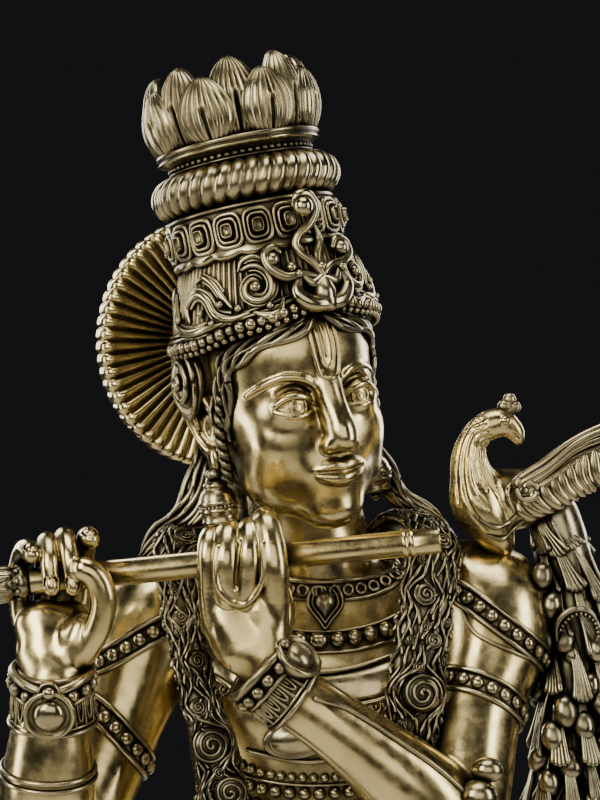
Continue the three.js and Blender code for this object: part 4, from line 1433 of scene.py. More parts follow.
def make_hands():
    hand = Clay((-140, -92, 612), (-84, -36, 698), 0.45)
    hand.worm([(-113, -68, 618), (-113, -67, 628)], [12.2, 12.4], 3)
    hand.oval((-115.5, -65, 638), (13, 9.5, 14), 5)
    hand.oval((-117, -63, 650), (12.5, 7.5, 11), 4)
    hand.oval((-102, -69, 644), (8, 8, 13), 5, turn=(0, 20, 0))
    hand.oval((-106, -60, 652), (9, 7, 8), 4)
    rows = (
        (
            [
                (-127, -56, 652), (-128.5, -56, 668), (-127, -58, 678), (-124, -67, 682.5),
                (-120.5, -76, 680.5),
            ],
            4.1, (0, -0.3, 1),
        ),
        (
            [
                (-118, -55, 654), (-117.5, -55, 672), (-116, -60, 683.5), (-114.8, -69, 685),
                (-113.4, -76, 678), (-112.4, -77, 667),
            ],
            4.0, (0, -1, 0),
        ),
        (
            [
                (-110, -54, 655), (-109.5, -54, 674), (-108.6, -60, 686), (-107.3, -69, 686.5),
                (-105, -76, 679), (-103.2, -77, 667),
            ],
            4.0, (0, -1, 0),
        ),
        (
            [
                (-103, -55, 655), (-101, -55, 674), (-99.5, -57, 685), (-98.0, -64, 687.5),
                (-96.8, -71, 686.5),
            ],
            4.2, (0, -0.5, 1),
        ),
    )
    for points, radius, nail in rows:
        finger(hand, points, radius, nail)
    finger(
        hand,
        [
            (-101, -70, 636), (-93.4, -75, 649), (-90.4, -78, 662), (-93.6, -79, 671),
            (-99.6, -80, 675.5),
        ],
        4.2, None, 2.6,
    )
    hand.rod(FLUTE_FOOT, FLUTE_HEAD, FLUTE_BORE, FLUTE_BORE, 0.3, carve=True)
    hand.made("hand_right_casting", POLISHED, smooth=1, nodes=["hand_right"])
    make_left_hand()


def make_bracelet(name, place, axis, face, radius, width):
    """A cuff: rails, a row of big beads, a fringe of loops, and a round medallion on its face."""
    up = Vector(axis).normalized()
    out = (Vector(face) - up * Vector(face).dot(up)).normalized()
    side = up.cross(out)
    cuff = Soup(frame_at(place, Matrix((out, side, up)).transposed().to_4x4()))
    h = width / 2

    def reach(z):
        return radius - 1.9 + 2.6 * (h - np.asarray(z, float)) / width

    cuff.turn(
        [
            (reach(-h) - 4, -h), (reach(-h) - 0.6, -h), (reach(-h) - 0.2, -h + 1),
            (reach(h) - 0.2, h - 1), (reach(h) - 0.6, h), (reach(h) - 4, h),
        ],
        72,
    )
    a = np.linspace(-pi, pi, 109)[:-1]
    dip = 3.6 * np.exp(-((a / 0.75) ** 2))

    def wave_ring(z, thick, lift, dipped=1.0):
        heights = z - dipped * dip
        r = reach(heights) + lift
        cuff.tube(np.stack([r * np.cos(a), r * np.sin(a), heights], axis=1), thick, 9, closed=True)

    wave_ring(h - 0.6, 2.0, 0.8)
    wave_ring(h - 8.8, 1.1, 0.5, 0.8)
    wave_ring(-h + 0.6, 1.1, 0.4, 0.0)
    wave_ring(-h + 2.8, 0.7, 0.2, 0.0)
    beads = int(tau * radius / 6.6)
    for k in range(beads):
        b = tau * (k + 0.5) / beads
        b = b if b < pi else b - tau
        if abs(b) < 0.45:
            continue
        z = h - 5.2 - 3.2 * np.exp(-((b / 0.75) ** 2))
        r = reach(z) + 0.6
        spot = np.array([[r * cos(b), r * sin(b), z]])
        cuff.stamp(bead_shape(14, 9), placed(spot, [(cos(b), sin(b), 0)], (0, 0, 1), 2.9))
    loops = int(tau * radius / 5.4)
    for k in range(loops):
        b = tau * (k + 0.5) / loops
        t = np.linspace(0, pi, 9)
        angle = b + 0.085 * np.cos(t)
        drop = h - 10.4 - (width - 15.4) * np.sin(t) ** 0.7
        r = reach(drop) + 0.3
        cuff.tube(np.stack([r * np.cos(angle), r * np.sin(angle), drop], axis=1), 0.62, 7)
        bar = np.array([h - 10, -h + 2.6])
        r = reach(bar) + 0.2
        edge = b + 0.5 * tau / loops
        cuff.tube(np.stack([r * cos(edge), r * sin(edge), bar], axis=1), 0.8, 7)
        inner = np.array([h - 10.6, h - 13.4])
        r = reach(inner) + 0.1
        cuff.tube(np.stack([r * cos(b), r * sin(b), inner], axis=1), 0.6, 7)
    # Medallion: two rings and a dome, with a ringed knob above.
    disc = Soup()
    disc.turn(
        [
            (1.0, -0.7), (1.02, 0.02), (0.97, 0.16), (0.88, 0.18), (0.82, 0.08), (0.72, 0.0),
            (0.66, 0.02), (0.62, 0.14), (0.60, 0.24), (0.48, 0.42), (0.28, 0.54), (0.08, 0.58),
            (0.02, 0.58),
        ],
        40,
    )
    for z, lift, size, deep in ((-h + 10.2, 1.4, 10.8, 7.0), (h - 3.8, 2.2, 4.6, 5.0)):
        m = Matrix.Translation((reach(z) + lift, 0, z)) @ Matrix.Rotation(pi / 2, 4, "Y")
        cuff.stamp(disc.shape(), [np.array(m @ Matrix.Diagonal((size, size, deep, 1)))])
    finish_soup(cuff, name + "_cuff", ANTIQUE, nodes=[name])


def make_bracelets():
    make_bracelet("bracelet_right", (-113, -65, 621), (0, -0.3, 1), (0, -1, -0.3), 17.5, 24)
    make_bracelet("bracelet_left", (-19.5, -68, 627), (-0.81, -0.13, 0.57), (0.40, -0.52, 0.75), 16.6, 22)


def band_on(soup, ring, half, disc=3.0, rail=1.25, step=6.7):
    """Discs between two rails on the body, along a closed ring of points around a limb."""
    centre, normals = BODY.snap(ring, 0.3)
    along = tangents(centre, closed=True)
    side = unit(np.cross(along, normals))
    for way in (-1, 1):
        path, _ = BODY.snap(centre + side * half * way, 0.5)
        soup.tube(smooth_ring(path), rail, 9, closed=True)
    plate = [
        smooth_ring(BODY.snap(centre + side * half * w, lift)[0])
        for w, lift in ((-1, -1.5), (-0.9, 0.6), (0.9, 0.6), (1, -1.5))
    ]
    soup.ring(np.stack(plate, axis=1))
    loop = np.vstack([centre, centre[:1]])
    spots = even(np.hstack([loop, np.vstack([normals, normals[:1]])]), step)[:-1]
    soup.stamp(
        bead_shape(14, 8, 0.7),
        placed(spots[:, :3] + unit(spots[:, 3:]) * 0.7, unit(spots[:, 3:]), (0, 0, 1), disc),
    )


def smooth_ring(path, rounds=2):
    for _ in range(rounds):
        path = 0.5 * path + 0.25 * (np.roll(path, 1, axis=0) + np.roll(path, -1, axis=0))
    return path


def make_bands():
    for name, centre, axis, radius, half in (
        ("armlet_left", (69, -20, 613), (0.45, 0.5, 1), 20, 4.6),
        ("armlet_right", (-91, -13, 599), (0.72, 0.25, 0.7), 21, 4.6),
        ("shoulder_band_left", (77, -4, 646), (0.85, 0.1, 1), 25, 4.4),
        ("shoulder_band_right", (-79, -4, 636), (-0.6, 0.2, 1), 24, 4.4),
    ):
        band = Soup()
        band_on(band, circle_at(centre, axis, radius, 96), half)
        finish_soup(band, name + "_discs", ANTIQUE, nodes=[name])


def collar(centre, rx, ry, tilt, count=160, lift=0.6):
    """An oval ring around the neck or chest, dropping to the front, laid on the body."""
    a = np.linspace(0, tau, count, endpoint=False)
    flat = np.stack([rx * np.sin(a), -ry * np.cos(a), 0 * a], axis=1)
    turn = np.array(Matrix.Rotation(radians(tilt), 3, "X"))
    path, normals = BODY.snap(flat @ turn.T + np.asarray(centre), lift)
    return smooth_ring(path, 3), unit(smooth_ring(normals, 3))


def teardrop(soup, place, out, width, tall, depth=3.2):
    """A pendant hanging point down: a raised rim and an inner rim around a smooth drop."""
    t = np.linspace(0, tau, 64, endpoint=False)
    low = np.clip(-np.cos(t), 0, 1)
    shape = np.stack([np.sin(t) * (1 - 0.62 * low**1.5), np.cos(t) * (1 + 0.22 * low**6)], axis=1)
    out = Vector(out).normalized()
    up = (Vector((0, 0, 1)) - out * out.z).normalized()
    side = up.cross(out)
    m = Matrix((side, up, out)).transposed().to_4x4()
    m.translation = place
    local = Soup()
    rows = []
    section = (
        (1.02, -1.6), (1.0, 0.8), (0.95, 1.4), (0.88, 1.4), (0.82, 0.5), (0.76, 0.4), (0.72, 1.3),
        (0.66, 1.3), (0.60, 0.5), (0.54, 0.8), (0.42, 1.9), (0.2, 2.5), (0.04, 2.7),
    )
    for k, h in section:
        rows.append(np.column_stack([shape * [width / 2 * k, tall / 2 * k], np.full(64, h * depth / 2.7)]))
    local.skin(np.array(rows)[:, ::-1])
    soup.stamp(local.shape(), [np.array(m)])


def make_necklaces():
    upper = Soup()
    path, normals = collar((0, -1, 676), 34, 27, 22)
    upper.tube(path + normals * 0.3, 1.2, 8, closed=True)
    low, _ = collar((0, -2, 671), 38, 30, 25)
    upper.tube(low, 0.9, 8, closed=True)
    ring = Soup()
    a = np.linspace(0, tau, 8, endpoint=False)
    ring.ring(
        np.stack(
            [
                np.stack(
                    [
                        (0.72 + 0.26 * np.cos(a)) * cos(b),
                        (0.72 + 0.26 * np.cos(a)) * sin(b),
                        0.30 * np.sin(a),
                    ],
                    axis=1,
                )
                for b in np.linspace(0, tau, 20, endpoint=False)
            ]
        )
    )
    between, between_n = collar((0, -1.5, 673.5), 36, 28.5, 24)
    spots = even(np.hstack([between, between_n]), 6.2)
    upper.stamp(ring.shape(), placed(spots[:, :3] + spots[:, 3:] * 0.6, spots[:, 3:], (0, 0, 1), 3.0))
    front, _ = BODY.snap(np.array([[2.5, -34.0, 657.5]]), 0.6)
    teardrop(upper, front[0], (0, -1, 0.25), 16.5, 20.5, 4.5)
    finish_soup(upper, "necklace_rings", ANTIQUE, nodes=["necklace_upper"])

    middle = Soup()
    path, normals = collar((0, -4, 660), 46, 34, 34)
    spots = even(np.hstack([path, normals]), 7.4)
    middle.stamp(
        bead_shape(16, 10),
        placed(spots[:, :3] + spots[:, 3:] * 1.4, spots[:, 3:], (0, 0, 1), 3.5),
    )
    for dz, r in ((3.8, 0.9), (-4.2, 1.0)):
        rail, _ = collar((0, -4, 660 + dz), 46 - dz * 0.4, 34 - dz * 0.3, 34)
        middle.tube(rail, r, 8, closed=True)
    finish_soup(middle, "necklace_beads", ANTIQUE, nodes=["necklace_middle"])

    lower = Soup()
    rims = []
    for dz, lift in ((8.5, -1.5), (8.0, 0.8), (2.0, 1.3), (-4.0, 1.5), (-6.5, 1.0), (-7.0, -1.5)):
        rims.append(collar((-1, -4, 642 + dz), 53 - dz * 0.3, 37, 38, lift=lift)[0])
    lower.ring(np.stack(rims, axis=1)[:, ::-1])
    for dz, r in ((8.2, 1.1), (-6.8, 1.2)):
        rail, _ = collar((-1, -4, 642 + dz), 53 - dz * 0.3, 37, 38, lift=1.2)
        lower.tube(rail, r, 8, closed=True)
    path, normals = collar((-1, -4, 634), 54, 37, 38, lift=0.5)
    spots = even(np.hstack([path, normals]), 5.0)
    loop = Soup()
    t = np.linspace(0, pi, 12)
    loop.tube(np.stack([0.8 * np.cos(t), -1.3 * np.sin(t), 0 * t], axis=1), 0.27, 7, up=(0, 0, 1))
    loop.stamp(BEAD, stretched((0, -0.45, 0.1), (0.32, 0.55, 0.35)))
    n = spots[:, 3:]
    side = unit(np.cross(np.gradient(spots[:, :3], axis=0), n))
    up = np.where(side[:, 2:] > 0, side, -side)
    right = np.cross(up, n)
    m = np.zeros((len(spots), 4, 4))
    for k, axis in enumerate((right, up, n)):
        m[:, :3, k] = axis * 2.6
    m[:, :3, 3] = spots[:, :3] + n * 0.4
    m[:, 3, 3] = 1
    lower.stamp(loop.shape(), m)
    finish_soup(lower, "collar_plate", ANTIQUE, nodes=["necklace_lower"])

    jewel = Soup()
    for a, b, c, h in (
        ((-28, -34, 609), (-6, -36, 606), (13, -35, 609), 0.8),
        ((-32, -34, 593), (-6, -36, 589), (18, -35, 593), 0.8),
    ):
        path, _ = BODY.snap(spline([a, b, c], 40), h)
        jewel.tube(path, 1.1, 8)
    dome = Soup()
    dome.turn(
        [
            (1.0, -0.4), (1.0, 0.1), (0.93, 0.26), (0.84, 0.2), (0.78, 0.24), (0.62, 0.44),
            (0.35, 0.58), (0.03, 0.62),
        ],
        40,
    )
    at, out = BODY.snap(np.array([[-9.0, -36.0, 599.5]]), 0.3)
    jewel.stamp(dome.shape(), placed(at, out, (1, 0, 0.2), [[16.0, 9.0, 7.0]]))
    rows = []
    for k, (z, size) in enumerate(((585, 2.1), (578, 2.9), (571, 2.6), (564.5, 2.1), (558.5, 2.0))):
        xs = np.arange(-36 + 3 * (k % 2), 30, size * 2.25)
        rows.append((np.stack([xs, 0 * xs - 34, z - 3.0 * (1 - ((xs + 3) / 33) ** 2)], axis=1), size))
    for points, size in rows:
        at, out = BODY.snap(points, 0.4)
        jewel.stamp(bead_shape(12, 8), placed(at, out, (0, 0, 1), size))
    for z in (581.6, 561.5, 554.5):
        xs = np.linspace(-38, 32, 50)
        path, _ = BODY.snap(np.stack([xs, 0 * xs - 34, z - 3.0 * (1 - ((xs + 3) / 35) ** 2)], axis=1), 0.3)
        jewel.tube(path, 0.9, 8)
    finish_soup(jewel, "chest_jewel", ANTIQUE)


FLUTE_FOOT = np.array([-150, -66, 665.8])
FLUTE_HEAD = np.array([50, -66, 686.1])
FLUTE_BORE = 6.7
FLUTE_ALONG = Vector(FLUTE_HEAD - FLUTE_FOOT).normalized()
FLUTE_LONG = float(np.linalg.norm(FLUTE_HEAD - FLUTE_FOOT))
FLUTE = frame_at(FLUTE_FOOT, FLUTE_ALONG.to_track_quat("Z", "Y").to_matrix().to_4x4())


def make_flute():
    tube = Soup(FLUTE)
    ends = FLUTE_LONG
    tube.turn(
        [
            (0.2, 27.6), (5.0, 27.6), (5.6, 28.4), (5.6, ends - 16.6), (6.2, ends - 16.2),
            (6.35, ends - 15.2), (6.2, ends - 14.2), (5.7, ends - 13.9), (5.7, ends - 13.3),
            (6.2, ends - 13), (6.35, ends - 12), (6.2, ends - 11), (5.6, ends - 10.6),
            (5.6, ends - 0.6), (5.3, ends), (4.5, ends), (4.1, ends - 0.5), (4.0, ends - 5),
            (0.2, ends - 5),
        ],
        48,
    )
    finish_soup(tube, "flute_pipe", POLISHED, body="flute", nodes=["flute_tube"])
    end = Soup(FLUTE)
    end.turn(
        [
            (0.2, 0.2), (3, 0.4), (5.6, 2), (6.6, 4), (6.2, 6.4), (4.6, 7.6), (4.9, 9),
            (7.0, 12), (7.7, 15), (7.0, 18.4), (5.4, 21), (5.8, 22.4), (6.9, 23.6), (6.9, 25.2),
            (6, 26.4), (5.6, 27.3), (0.2, 27.3),
        ],
        40, lambda r, z, a: 0.25 * np.sin(9 * a + z) * (z < 22),
    )
    end.stamp(BEAD, spin(9, 6.6, 22.9, 1.2))
    leaf = veined_petal(12, 15)
    end.stamp(leaf, spin(6, 5.2, 6.0, (8.0, 5.0, 15.0), lean=radians(4)))
    end.stamp(leaf, spin(6, 4.2, 8.0, (8.0, 5.0, 14.0), lean=radians(2), phase=0.5))
    finish_soup(end, "flute_finial_bud", DARK, body="flute", nodes=["flute_finial"])


# --- Garlands ---


def rose_shape(turns=2.6):
    """A rose, one unit in radius: a low dome under a spiral ridge."""
    soup = Soup()
    soup.turn([(1.0, -0.3), (0.98, 0.05), (0.8, 0.18), (0.5, 0.28), (0.03, 0.33)], 20)
    t = np.linspace(0, 1, 58)
    r = 0.93 * (1 - t) ** 0.85 + 0.05
    a = tau * turns * t
    path = np.stack([r * np.cos(a), r * np.sin(a), 0.10 + 0.34 * (1 - r**2)], axis=1)
    soup.tube(path, 0.085, 6)
    return soup.shape()


ROSE = rose_shape()


def ribbon_frame(points, out, step=1.2):
    """A curve with its tangents, its sideways directions and its outward directions."""
    path = even(spline(points, 90), step)
    along = tangents(path)
    out = spline(out, len(path)) if np.ndim(out) == 2 else np.broadcast_to(out, path.shape)
    side = unit(np.cross(along, out))
    return path, along, side, np.cross(side, along)


def garland(name, points, out, half, roses, nodes, thick=0.42):
    """A flat rope of flowers: roses along it, cords flowing round them, and leaves at its edges."""
    path, along, side, lift = ribbon_frame(points, out)
    n = len(path)
    run = np.arange(n) * np.linalg.norm(path[1] - path[0])
    width = ramp(n, np.linspace(0, 1, len(half)), half)
    rope = Soup()
    rope.tube(path, width * 0.93, 16, flat=thick, up=lift)

    def crown(i, u):
        return thick * width[i] * np.sqrt(np.clip(1 - (u / width[i]) ** 2, 0, 1))

    def seat(distance, u, size, twist, deep=0.9):
        i = int(np.searchsorted(run, distance).clip(1, n - 2))
        across = side[i] * cos(twist) + along[i] * sin(twist)
        m = np.eye(4)
        m[:3, 0], m[:3, 1] = across * size, np.cross(lift[i], across) * size
        m[:3, 2] = lift[i] * size * deep
        m[:3, 3] = path[i] + side[i] * u + lift[i] * (crown(i, u) - 0.3)
        return m

    flowers = [(f * run[-1], c, r) for f, c, r in roses]
    for distance, c, r in flowers:
        i = int(np.searchsorted(run, distance).clip(1, n - 2))
        rope.stamp(ROSE, [seat(distance, c * width[i], r, distance)])
    # Small roses wherever the large ones leave room.
    small = np.arange(4, run[-1] - 3, 3.4)
    for k, distance in enumerate(small):
        i = int(np.searchsorted(run, distance).clip(1, n - 2))
        u = width[i] * (0.72, -0.70, 0.05, -0.30, 0.42)[k % 5]
        r = 2.0 + 0.9 * ((k * 7) % 5) / 4
        clear = [np.hypot(distance - d, u - c * width[i]) > q + r * 0.55 for d, c, q in flowers]
        if all(clear):
            rope.stamp(ROSE, [seat(distance, u, r, k * 1.3, 1.3)])
    index = np.arange(n)
    cords = 12
    for j in range(cords):
        u = ((j + 0.5) / cords * 2 - 1) * width * 0.94
        u = u + 1.15 * np.sin(run / 2.6 + j * 2.4) + 0.7 * np.sin(run / 5.9 + j)
        for distance, c, r in flowers:
            inside = np.clip(1 - ((run - distance) / (r * 1.12)) ** 2, 0, 1)
            gap = u - c * width
            way = np.where(gap >= 0, 1, -1)
            reach = r * 1.08 * np.sqrt(inside)
            packed = np.maximum(np.abs(gap), reach + 0.45 * np.abs(gap))
            u = np.where((inside > 0) & (np.abs(gap) < reach * 1.8), c * width + way * packed, u)
        u = np.clip(u, -width * 1.02, width * 1.02)
        u = np.convolve(np.pad(u, 2, "edge"), np.ones(5) / 5, "valid")
        h = np.array([crown(i, v) for i, v in zip(index, u)])
        wave = 0.55 * np.sin(run / 1.9 + j * 1.7)
        cord = path + side * u[:, None] + lift * (h + 0.15 + wave)[:, None]
        rope.tube(cord, 0.66 + 0.16 * (j % 2), 6)
    leaves = []
    for way in (-1, 1):
        for k, distance in enumerate(np.arange(5, run[-1] - 4, 5.5)):
            i = int(np.searchsorted(run, distance).clip(1, n - 2))
            twist = (0.9 if k % 3 else 1.5) * way
            lean = unit(way * side[i] * cos(twist) + along[i] * sin(abs(twist)))
            size = 4.6 + 1.5 * sin(k * 1.7)
            m = np.eye(4)
            m[:3, 0], m[:3, 1], m[:3, 2] = lean * size, np.cross(lift[i], lean) * size, lift[i] * 3.6
            m[:3, 3] = path[i] + side[i] * way * width[i] * 0.94 + lift[i] * 0.9
            leaves.append(m)
    rope.stamp(LEAF, leaves)
    finish_soup(rope, name, DARK, nodes=nodes)


def make_garlands():
    front = [(0, 0.9, 0.5), (0.3, -0.3, 1), (0.2, -1, 0.4), (0, -1, 0.1), (0, -1, 0.1), (0, -1, 0.1)]
    garland(
        "garland_left_flowers",
        [
            (18, 33, 672), (38, 12, 690), (49, -22, 683), (45, -39, 656), (40, -44.5, 616),
            (38, -44, 576), (37, -44, 520), (38, -52, 450), (35, -61, 386),
        ],
        front, [9, 11, 12.4, 12.6, 12.4, 12, 11.5, 11, 10],
        [
            (0.06, 0, 4.5), (0.13, 0.1, 5), (0.20, -0.2, 4.6), (0.265, 0.15, 5.2),
            (0.315, -0.35, 3.8), (0.375, -0.15, 8.6), (0.44, 0.4, 4.6), (0.49, -0.3, 6),
            (0.55, 0.2, 8), (0.62, -0.2, 6.6), (0.69, 0.2, 8), (0.76, -0.2, 6.6),
            (0.83, 0.15, 8), (0.90, -0.1, 6.5), (0.965, 0, 6),
        ],
        ["garland_strand_left"],
    )
    garland(
        "garland_right_flowers",
        [
            (-16, 33, 672), (-46, 14, 687), (-62, -17, 681), (-60, -38, 656), (-53, -47, 622),
            (-44, -50, 592), (-42, -50, 548), (-41, -50, 500), (-41, -55, 440), (-35, -62, 386),
        ],
        front, [9, 11, 10.5, 8.6, 8.6, 13.2, 13.6, 12.5, 11, 10],
        [
            (0.06, 0, 4.5), (0.13, 0.1, 5), (0.19, -0.2, 4.6), (0.245, 0.15, 4),
            (0.295, 0.25, 3.8), (0.345, -0.2, 4.4), (0.395, 0.3, 4), (0.44, 0.25, 8.0),
            (0.495, -0.35, 7.4), (0.535, 0.35, 8.2), (0.60, -0.2, 8), (0.67, 0.2, 7.6),
            (0.74, -0.2, 7), (0.81, 0.15, 8), (0.88, -0.1, 6.5), (0.955, 0, 6),
        ],
        ["garland_strand_right"],
    )
    garland(
        "garland_loop_flowers",
        [(-35, -61, 388), (-27, -68, 332), (-2, -74, 298), (24, -69, 330), (35, -61, 388)],
        [(0, -1, 0.1), (0, -1, 0), (0, -1, 0)], [10, 12, 14, 12, 10],
        [
            (0.08, 0, 7), (0.2, 0.1, 8), (0.33, -0.1, 8.6), (0.5, 0, 10.5), (0.67, 0.1, 8.6),
            (0.8, -0.1, 8), (0.92, 0, 7),
        ],
        ["garland_loop"],
    )


# --- Peacock on the shoulder ---


def feather(soup, points, width, out, thick=0.28, quill=0.45, barbs=True):
    """A flat feather along a curve, with a quill and slanting barbs."""
    path, _, side, lift = ribbon_frame(points, out, 1.0)
    n = len(path)
    t = np.linspace(0, 1, n)
    wide = width * np.interp(t, [0, 0.2, 0.75, 0.92, 1], [0.45, 0.85, 1, 0.85, 0.35])
    soup.tube(path, wide, 12, flat=thick, up=lift)
    soup.tube(path + lift * (wide * thick)[:, None], quill, 6)
    if not barbs:
        return
    for i in range(2, n - 2, 2):
        for way in (-1, 1):
            a = path[i] + lift[i] * wide[i] * thick * 0.9
            b = path[min(i + 3, n - 1)] + side[i] * way * wide[i] * 0.86 + lift[i] * wide[i] * thick * 0.3
            mid = (a + b) / 2 + lift[i] * wide[i] * thick * 0.25
            soup.tube(np.array([a, mid, b]), 0.26, 5, blunt=False)


def make_bird():
    bird = Clay((52, -34, 668), (122, 26, 756), 0.6)
    bird.worm(
        [(66, -12, 706), (69.5, -12, 699), (74, -10, 691), (78, -9, 684), (80, -8, 680)],
        [8.5, 10.5, 9, 6, 3.4], 3,
    )
    bird.worm([(74, -8, 702), (86, -3, 701), (98, 3, 704)], [11, 11.5, 9], 4)
    bird.worm(
        [(70, -11, 704), (66, -12, 713), (65.5, -13, 723), (70, -14.5, 731.5), (77, -15, 735.5)],
        [9.0, 7.6, 5.6, 4.9, 5.4], 3,
    )
    bird.oval((79.5, -15, 735.0), (6.6, 5.2, 5.8), 2)
    bird.worm([(82.5, -15, 734.0), (85.8, -15, 730.5), (87.0, -15, 726.5)], [4.4, 3.0, 1.0], 1.5)
    bird.worm([(84.0, -19, 730.6), (87.0, -17, 727.6)], [0.5, 0.4], 0.4, carve=True)
    bird.oval((80.5, -20.4, 736.0), (2.1, 1.5, 2.1), 0.1)
    hub = spline(
        [
            (76.5, -14, 733), (67.5, -13.5, 729), (65, -12.5, 718), (66.5, -11.5, 707),
            (72, -9.5, 697), (79, -7, 687),
        ],
        60,
    )
    side = unit(np.cross(tangents(hub), (0, 1, 0)))
    radii = ramp(60, [0, 0.2, 0.45, 0.65, 1], [5.4, 5.6, 7.6, 10, 5])
    for k in range(9):
        a = radians(-84 + 21 * k)
        raw = hub + (side * sin(a) + np.array([0, -1, 0]) * cos(a)) * radii[:, None]
        on, _ = bird.snap(raw[4 : 56 - 5 * (k % 3) : 6], 0.0)
        bird.worm(on, 0.75, 0.5, carve=True, count=40)
    bird.made("peacock_casting", POLISHED, smooth=1, nodes=["peacock_body", "peacock_head"])

    plumes = Soup()
    plumes.tube(circle_at((80.5, -20.5, 736.0), (0, 1, 0), 2.9, 24), 0.55, 6, closed=True)
    for k, (x, z, r) in enumerate(((80.5, 742.0, 3.2), (82.8, 745.2, 3.0), (85.2, 741.8, 2.8))):
        plumes.tube([(80.5, -15, 738), (x, -15, z)], 2.2, 8)
        plumes.stamp(bead_shape(14, 9), stretched((x, -15, z), (r, r * 0.8, r)))
    for points in (
        [(84, -15, 697), (81, -17, 703), (84, -18, 709), (90, -18, 708), (91, -17, 702), (87, -17, 700)],
        [(70, -20, 694), (76, -19, 690), (82, -16, 692), (87, -13, 698)],
        [(73, -18, 687), (79, -16, 685), (85, -12, 690), (90, -9, 697)],
    ):
        line = spline(bird.snap(np.array(points, float), 0.3)[0], 40)
        plumes.tube(line, ramp(40, [0, 0.3, 1], [0.6, 1.4, 0.7]), 8)
    finish_soup(plumes, "peacock_plumage", ANTIQUE)


def make_wing():
    wing = Soup()
    lead = spline(
        [
            (81, -14, 699), (85.5, -17, 709), (98, -17.5, 718), (109.5, -16, 726.5),
            (122.5, -13, 733), (147, -7, 742),
        ],
        80,
    )
    trail = spline(
        [
            (89, -12, 690), (96, -14, 694), (107, -14, 698.5), (116, -12.5, 703.4),
            (124, -11, 707), (147, -6, 717),
        ],
        80,
    )
    for k in range(4):
        drop = k / 4 * 0.40
        middle = lead * (1 - drop) + trail * drop
        middle[:, 1] -= 1.4 * sin(pi * k / 3)
        sway = 0.7 * np.sin(np.linspace(0, 3 * pi, 80) + k)
        middle[:, 2] += sway * (k > 0)
        wing.tube(middle, ramp(80, [0, 0.2, 0.8, 1], [1.0, 2.0, 1.7, 0.8]), 9)
    for layer, count, start, end, wide in ((0, 12, 0.36, 1.0, 2.9), (1, 11, 0.30, 0.66, 2.2)):
        for way in (-1, 1):
            for k in range(count):
                f = 0.12 + 0.86 * (k + 0.5 * layer) / count
                i, j = int(f * 79), int(min(f + 0.05, 1) * 79)
                shift = np.array([0, (2.2 if way < 0 else 6.0) * way - way * 1.5 * layer, 0])
                base = lead[i] * (1 - start) + trail[i] * start + shift
                tip = lead[j] * (1 - end) + trail[j] * end + shift * 0.6
                bend = (base + tip) / 2 + [-1.8, way * 1.6, -0.6]
                feather(wing, [base, bend, tip], wide, (0, way, 0.1), 0.5, 0.35, barbs=False)
    wing.tube(lead * 0.62 + trail * 0.38, ramp(80, [0, 0.3, 1], [3.0, 3.4, 2]), 12)
    t = np.linspace(0, 1, 34)
    reach = 6 * (1 - 0.75 * t)
    turn = tau * 1.2 * t + 2.4
    curl = np.stack([91 + reach * np.cos(turn), -19 + 0 * t, 706 + reach * np.sin(turn)], axis=1)
    wing.tube(curl, 1.5, 8)
    finish_soup(wing, "peacock_wing_feathers", ANTIQUE, nodes=["peacock_wing"])


TAIL_SEED = 7


